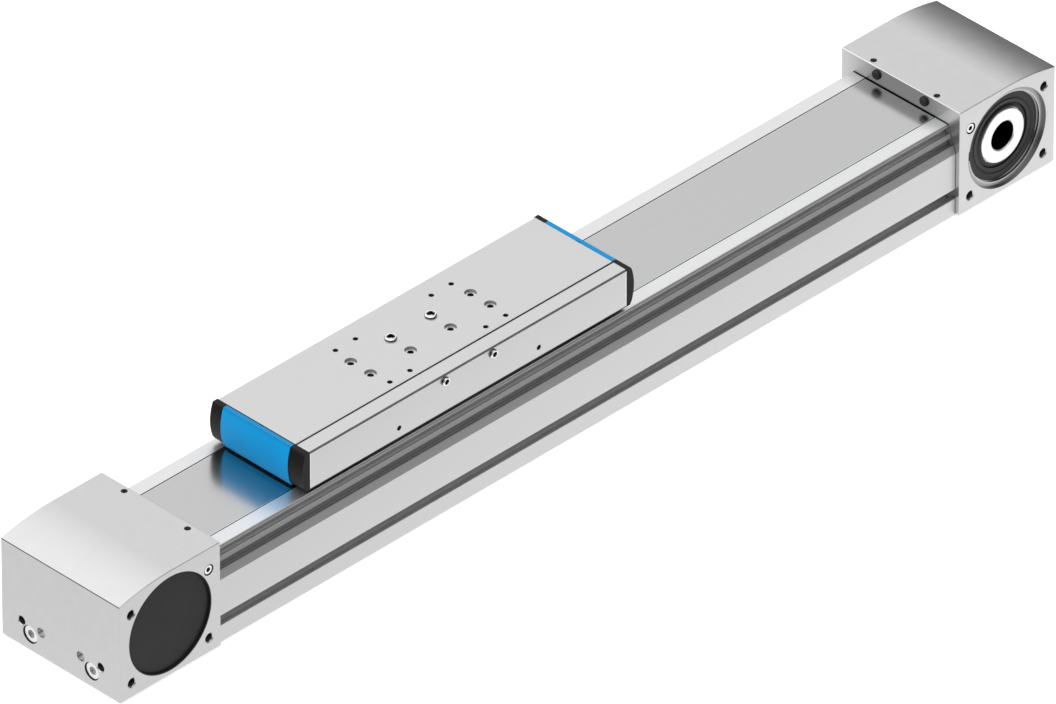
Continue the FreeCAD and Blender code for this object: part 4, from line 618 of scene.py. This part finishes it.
# Bearings.
# Deep groove ball bearings of ground steel with black rubber seals, two to each pulley.
# They are pressed into the heads and kept there by retaining rings.
SEAL_EDGE_RADIUS, SEAL_FACE_RADIUS = 0.0304, 0.0295
SEAL_BLACK = (0.020, 0.020, 0.021)
SEAL_LINE = (0.001, 0.001, 0.001)
RING_STEEL = (0.48, 0.48, 0.49)
BLUED_STEEL = (0.035, 0.035, 0.037)
ring_steel = finish_material(
    "bearing_steel", fine_grain, RING_STEEL, grain=2500.0, contrast=0.08, roughness=0.18,
    spread=0.1, metallic=1.0, bump=0.03)
seal = finish_material(
    "seal_rubber", fine_grain, SEAL_BLACK, grain=3000.0, contrast=0.2, roughness=0.4,
    spread=0.15, metallic=0.0, bump=0.12, depth=0.0001, specular=0.35,
    marks=(disc(SEAL_LINE, shaft, SEAL_EDGE_RADIUS),
           disc(SEAL_BLACK, shaft, SEAL_FACE_RADIUS)))
blued_steel = finish_material(
    "blued_steel", fine_grain, BLUED_STEEL, grain=2500.0, contrast=0.1, roughness=0.3,
    spread=0.1, metallic=0.9, bump=0.03)
for end_name in ("drive", "idler"):
    dress(ring_steel, end_name + "_bearing_outer_rings", end_name + "_bearing_ball_rings")
    dress(ring_steel, end_name + "_retaining_rings")
    dress(blued_steel, end_name + "_bearing_inner_rings")
    dress(seal, end_name + "_bearing_seals")


# Hubs and pulleys.
# Turned hollow hubs with a bright face and a bore for the drive shaft, and milled
# aluminium toothed pulleys pressed onto them.
HUB_BORE_RADIUS = 0.01165
HUB_ALUMINIUM = (0.93, 0.93, 0.93)
hub_metal = finish_material(
    "turned_hub", fine_grain, HUB_ALUMINIUM, grain=2000.0, contrast=0.05, roughness=0.3,
    spread=0.1, metallic=0.9, bump=0.05,
    marks=(disc(DEEP_SHADE, shaft, HUB_BORE_RADIUS),))
for end_name in ("drive", "idler"):
    dress(hub_metal, end_name + "_hub", end_name + "_pulley")


# Toothed belt.
# White polyurethane with steel cords, clamped to the carriage at both ends. It runs
# round both pulleys inside the heads and returns through the profile's chamber.
BELT_PITCH = 0.005
BELT_TEETH_ROUND = 33
BELT_RADIUS = BELT_TEETH_ROUND * BELT_PITCH / (2 * math.pi)
BELT_LAND, BELT_BACK = 0.00057, 0.00113
BELT_HALF_WIDTH = 0.020
BELT_EASE = 0.00025
TOOTH_HEIGHT, TOOTH_ROOT, TOOTH_TIP = 0.0021, 0.0031, 0.0020
LAND_SHARE = 0.49
FLANK_ROOM = 0.00045
PLAIN_STATIONS = 80
WRAP, RUN = math.pi * BELT_RADIUS, 2 * SHAFT_X
RIGHT_CLAMP, RIGHT_SPLIT, LEFT_SPLIT, LEFT_CLAMP = -0.441, -0.0025, 1.0125, 1.222
BELT_WHITE = (0.72, 0.72, 0.68)
belt_skin = finish_material(
    "polyurethane", fine_grain, BELT_WHITE, grain=2000.0, contrast=0.08, roughness=0.42,
    spread=0.1, metallic=0.0, bump=0.12, depth=0.0001)


def belt_line(distance):
    """Points on the pitch line, as x and z, and the unit vector towards the teeth. Distance
    zero is over the drive shaft. The line is straight, then half a circle round each pulley:
    the turn so far is the clipped arc length over the radius, and the centre slides along x."""
    turn = (np.clip(distance, 0, WRAP) + np.clip(distance - WRAP - RUN, 0, WRAP)) / BELT_RADIUS
    outward = np.stack([np.sin(turn), np.cos(turn)], axis=-1)
    centre_x = SHAFT_X + np.minimum(distance, 0) - np.clip(distance - WRAP, 0, RUN)
    centre_x = centre_x + np.maximum(distance - 2 * WRAP - RUN, 0)
    centre = np.stack([centre_x, np.full_like(centre_x, SHAFT_Z)], axis=-1)
    return centre + BELT_RADIUS * outward, -outward


def belt_length(name, start, end, toothed, plain):
    """Belt between two distances: a band whose inner face steps in by the tooth height over
    each trapezoid tooth. toothed are (first pitch, last pitch, room at each flank), plain are
    stretches (from, to) that are divided evenly."""
    centres = np.concatenate([np.arange(first, last + 1) for first, last, room in toothed]) * BELT_PITCH
    room = np.concatenate([np.full(last + 1 - first, room) for first, last, room in toothed])
    root, tip = TOOTH_ROOT / 2, TOOTH_TIP / 2
    steps = np.array([-root, -tip, tip, root, BELT_PITCH * LAND_SHARE])
    steps = steps - room[:, None] * np.array([-1, -1, 1, 1, 0])
    raised = np.array([0, 1, 1, 0, 0]) * TOOTH_HEIGHT
    even = [np.linspace(low, high, PLAIN_STATIONS) for low, high in plain]
    distance = np.concatenate([[start], (centres[:, None] + steps).ravel(), *even, [end]])
    height = np.concatenate([[0], np.tile(raised, len(centres)), np.zeros(PLAIN_STATIONS * len(plain) + 1)])
    order = np.argsort(distance, kind="stable")
    distance, height = distance[order], height[order]
    line, inward = belt_line(distance)
    inner = BELT_LAND + height
    back = np.full_like(inner, -BELT_BACK)
    offset = np.stack([inner, inner, inner - BELT_EASE, BELT_EASE + back, back, back, BELT_EASE + back,
                       inner - BELT_EASE], axis=-1)
    xz = line[:, None, :] + offset[..., None] * inward[:, None, :]
    y = np.broadcast_to(band_across(BELT_HALF_WIDTH, BELT_EASE), offset.shape)
    points, faces = swept_loop(np.stack([xz[..., 0], y, xz[..., 1]], axis=-1))
    piece = add_piece(name, points, faces, belt_skin)
    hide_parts("toothed_belt")
    return piece


belt_right = belt_length("belt_run_right", RIGHT_CLAMP, RIGHT_SPLIT,
                         toothed=[(-87, -84, 0), (-4, -1, FLANK_ROOM)], plain=[(-0.4155, -0.0235)])
belt_return = belt_length("belt_return_run", RIGHT_SPLIT, LEFT_SPLIT,
                          toothed=[(0, 202, FLANK_ROOM)], plain=[])
belt_left = belt_length("belt_run_left", LEFT_SPLIT, LEFT_CLAMP,
                        toothed=[(203, 205, FLANK_ROOM), (240, 244, 0)], plain=[(1.0290, 1.1965)])
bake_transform(belt_right)
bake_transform(belt_left)
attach(belt_return, "root")


# Carriage.
# Inside the channel a milled aluminium base is screwed to two ball guide blocks on the
# rail and grips both belt ends between toothed jaws and plates.
CARRIAGE_ALUMINIUM = (0.62, 0.62, 0.63)
milled = finish_material(
    "milled_aluminium", drawn_lines, CARRIAGE_ALUMINIUM, grain=(40, 1500, 1500), contrast=0.08,
    roughness=0.32, spread=0.1, metallic=0.95, bump=0.06, depth=0.0001)
dress(milled, "carriage_base", "belt_clamp_jaws", "belt_clamp_plates")
dress(ground_steel, "guide_block_left", "guide_block_right")


# Slide.
# The slide is a milled and anodised aluminium plate with a screwed-on side bar. Load
# plates are screwed to its top and located on bright steel centring sleeves.
SLIDE_TOP = 0.1128
SLIDE_HALF_LENGTH = 0.1586
END_FACE_DEPTH, END_FACE_SOFT = 0.00002, 0.00004
DIAGONAL = 0.70711
CORNER_FROM = 0.1463
BAR_JOINT_Y, BAR_JOINT_LENGTH = -0.035, 0.00095
TOP_EDGE_FROM, TOP_EDGE_SOFT = 0.1135, 0.0001
UNDERSIDE_TO = 0.0816
SEAT_PLACES = ((0.020, 0.010, 0), (0.060, 0.010, 0))
SEAT_RADIUS, SEAT_FLOOR_RADIUS = 0.00456, 0.00425
TOP_SLEEVE_FROM, TOP_SLEEVE_TO = 0.1126, 0.1140
SIDE_SLEEVE_FROM, SIDE_SLEEVE_TO = 0.0488, 0.0502
SIDE_FACE_Y, SIDE_HOLE_Z = -0.0489, 0.0895
INNER_THREAD = {"core_radius": 0.0025, "pitch": 0.001, "start": 0.0023, "end": 0.0135, "around": 20}
OUTER_THREAD = {"core_radius": 0.0021, "pitch": 0.0008, "start": 0.0001, "end": 0.0096, "around": 18}
SIDE_THREAD = {"core_radius": 0.0021, "pitch": 0.0008, "start": 0.0001, "end": 0.0086, "around": 18}
TOP_HOLES = (((-0.060, -0.020, 0.020, 0.060), 0.010, INNER_THREAD),
             ((-0.058, -0.038, 0.038, 0.058), 0.0275, OUTER_THREAD))
SIDE_HOLES = (-0.070, 0.070)
SLIDE_ALUMINIUM = (0.66, 0.66, 0.66)
SLEEVE_STEEL = (0.90, 0.90, 0.91)
SLEEVE_SHADE = (0.10, 0.10, 0.10)
SEAT_SHADE = (0.26, 0.26, 0.26)
# Painted highlight on the floors of the screw seats.
SEAT_FLOOR_HIGHLIGHT = (1.0, 1.0, 1.0)
JOINT_SHADE = (0.24, 0.24, 0.24)
UNDER_SHADE = (0.006, 0.006, 0.006)
EDGE_SHADE = (0.22, 0.22, 0.22)
slide_middle = (SLIDE_CENTRE, 0, 0)
seat_marks = []
for seat in SEAT_PLACES:
    for radius, colour in ((SEAT_RADIUS, SEAT_SHADE), (SEAT_FLOOR_RADIUS, SEAT_FLOOR_HIGHLIGHT)):
        seat_marks.append(disc(colour, seat, radius, Origin=slide_middle, Plane=FROM_ABOVE))
# Painted highlights on the side bar's end corners and the seat floors; painted shade on the end faces, the
# bar joint, the top edge, the underside and the seat walls.
slide_metal = finish_material(
    "slide_anodised", drawn_lines, SLIDE_ALUMINIUM, grain=(60, 900, 900), contrast=0.02, roughness=0.36,
    spread=0.04, metallic=0.92, bump=0.05,
    marks=(band(EDGE_HIGHLIGHT, (-DIAGONAL, -DIAGONAL, 0), Origin=slide_middle, From=CORNER_FROM),
           band(EDGE_HIGHLIGHT, (DIAGONAL, -DIAGONAL, 0), Origin=slide_middle, From=CORNER_FROM),
           band(DEEP_SHADE, ALONG, Origin=slide_middle, From=SLIDE_HALF_LENGTH - END_FACE_DEPTH,
                Soft=END_FACE_SOFT),
           band(JOINT_SHADE, ACROSS, Origin=(0, BAR_JOINT_Y, 0), To=BAR_JOINT_LENGTH),
           band(EDGE_SHADE, (0, -DIAGONAL, DIAGONAL), From=TOP_EDGE_FROM, Soft=TOP_EDGE_SOFT),
           band(UNDER_SHADE, UP, To=UNDERSIDE_TO),
           *seat_marks))
sleeve_steel = finish_material(
    "sleeve_steel", fine_grain, SLEEVE_STEEL, grain=2500.0, contrast=0.05, roughness=0.08,
    spread=0.05, metallic=1.0, bump=0.03,
    marks=(band(SLEEVE_SHADE, UP, From=TOP_SLEEVE_FROM, To=TOP_SLEEVE_TO),
           band(SLEEVE_SHADE, ACROSS, From=SIDE_SLEEVE_FROM, To=SIDE_SLEEVE_TO)))
dress(slide_metal, "slide_body", "slide_side_bar")
dress(sleeve_steel, "top_centring_sleeves", "side_centring_sleeves")
slide_holes = []
for row, half_spacing, thread in TOP_HOLES:
    for dx in row:
        for y in (-half_spacing, half_spacing):
            slide_holes.append({"mouth": (SLIDE_CENTRE + dx, y, SLIDE_TOP), "inward": (0, 0, -1), **thread})
for dx in SIDE_HOLES:
    mouth = (SLIDE_CENTRE + dx, SIDE_FACE_Y, SIDE_HOLE_Z)
    slide_holes.append({"mouth": mouth, "inward": (0, 1, 0), **SIDE_THREAD})
piece = threads("slide_threads", slide_holes)
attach(piece, "slide")


# End caps.
# Moulded black caps close both ends of the slide, with a blue cover clipped over the
# middle of each. Strip ramps and shoes inside are the same black plastic.
COVER_TOP_FROM, COVER_TOP_SOFT = 0.1116, 0.0016
COVER_JOINT_LENGTH = 0.0010
CAP_BLACK = (0.009, 0.0085, 0.008)
COVER_BLUE = (0.0015, 0.43, 0.975)
# Painted shade on the top face of the blue covers.
COVER_TOP_SHADE = (0.004, 0.27, 0.60)
WIPER_BLACK = (0.003, 0.003, 0.003)
cap_black = finish_material(
    "moulded_black", fine_grain, CAP_BLACK, grain=2600.0, contrast=0.1, roughness=0.42,
    spread=0.1, metallic=0.0, bump=0.15, depth=0.0001, specular=0.2)
# Painted shade darkens the cover's top, and a painted shadow lines the left cover where it meets the slide.
cover_blue = finish_material(
    "moulded_blue", fine_grain, COVER_BLUE, grain=2600.0, contrast=0.04, roughness=0.4,
    spread=0.08, metallic=0.0, bump=0.08, depth=0.0001, specular=0.2,
    marks=(band(COVER_TOP_SHADE, UP, From=COVER_TOP_FROM, Soft=COVER_TOP_SOFT),
           band(DEEP_SHADE, ALONG, Origin=(SLIDE_CENTRE - SLIDE_HALF_LENGTH, 0, 0), To=COVER_JOINT_LENGTH)))
wiper_rubber = finish_material(
    "wiper_rubber", fine_grain, WIPER_BLACK, grain=2500.0, contrast=0.2, roughness=0.6,
    spread=0.1, metallic=0.0, bump=0.15, depth=0.0001, specular=0.1)
dress(wiper_rubber, "strip_wipers")
dress(cap_black, "end_cap_left", "end_cap_right", "guide_block_end_plates", "strip_ramps", "strip_shoes")
dress(cover_blue, "centre_cover_left", "centre_cover_right")


# Floor.
# A plain pale light table under the axis, which isn't part of it. It is white to the
# camera, and what the metal sees of it fades away from the axis.
FLOOR_HALF = 8.0
FLOOR_WHITE = (0.90, 0.90, 0.90)
FLOOR_ROUGHNESS = 0.9
FLOOR_GLOW = 0.45
GLOW_SLOPE_HALF, GLOW_RIGHT = 0.6, 1.23
SIDE_FADE = (0.16, 0.43, 0.15)
END_FADE = (0.90, 1.50, 0.25)


def fade(tree, source, near, far, left_over):
    """One within near of the middle, falling smoothly to left_over at far."""
    aside = worked(tree, "ABSOLUTE", source)
    drop = put(tree, "MapRange", {"Value": aside, "From Min": near, "From Max": far, "To Min": 1.0,
                                  "To Max": left_over}, interpolation_type="SMOOTHSTEP")
    return drop.outputs["Result"]


def light_table(name):
    """White for the camera. For all other rays it glows, more to the front right, and fades outwards."""
    material = bpy.data.materials.new(name)
    material.use_nodes = True
    tree = material.node_tree
    surface = tree.nodes["Principled BSDF"]
    fill(tree, surface, {"Base Color": (*FLOOR_WHITE, 1), "Roughness": FLOOR_ROUGHNESS,
                         "Emission Color": (1, 1, 1, 1), "Emission Strength": FLOOR_GLOW})
    place = put(tree, "TexCoord", {})
    parts = put(tree, "SeparateXYZ", {"Vector": place.outputs["Object"]})
    to_right = worked(tree, "SUBTRACT", parts.outputs["X"], parts.outputs["Y"])
    level = put(tree, "MapRange", {"Value": to_right, "From Min": -GLOW_SLOPE_HALF,
                                   "From Max": GLOW_SLOPE_HALF, "To Min": 1.0, "To Max": GLOW_RIGHT})
    near = worked(tree, "MULTIPLY", fade(tree, parts.outputs["Y"], *SIDE_FADE),
                  fade(tree, parts.outputs["X"], *END_FADE))
    glow = put(tree, "Emission", {"Strength": worked(tree, "MULTIPLY", near, level.outputs["Result"])})
    path = put(tree, "LightPath", {})
    either = put(tree, "MixShader", {"Fac": path.outputs["Is Camera Ray"], 1: glow.outputs["Emission"],
                                     2: surface.outputs["BSDF"]})
    fill(tree, tree.nodes["Material Output"], {"Surface": either.outputs["Shader"]})
    return material


floor_corners = np.array([[-1, -1, 0], [1, -1, 0], [1, 1, 0], [-1, 1, 0]]) * FLOOR_HALF
floor = add_piece("floor", floor_corners, [[0, 1, 2, 3]], light_table("light_table"))
floor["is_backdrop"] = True

low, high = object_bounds()
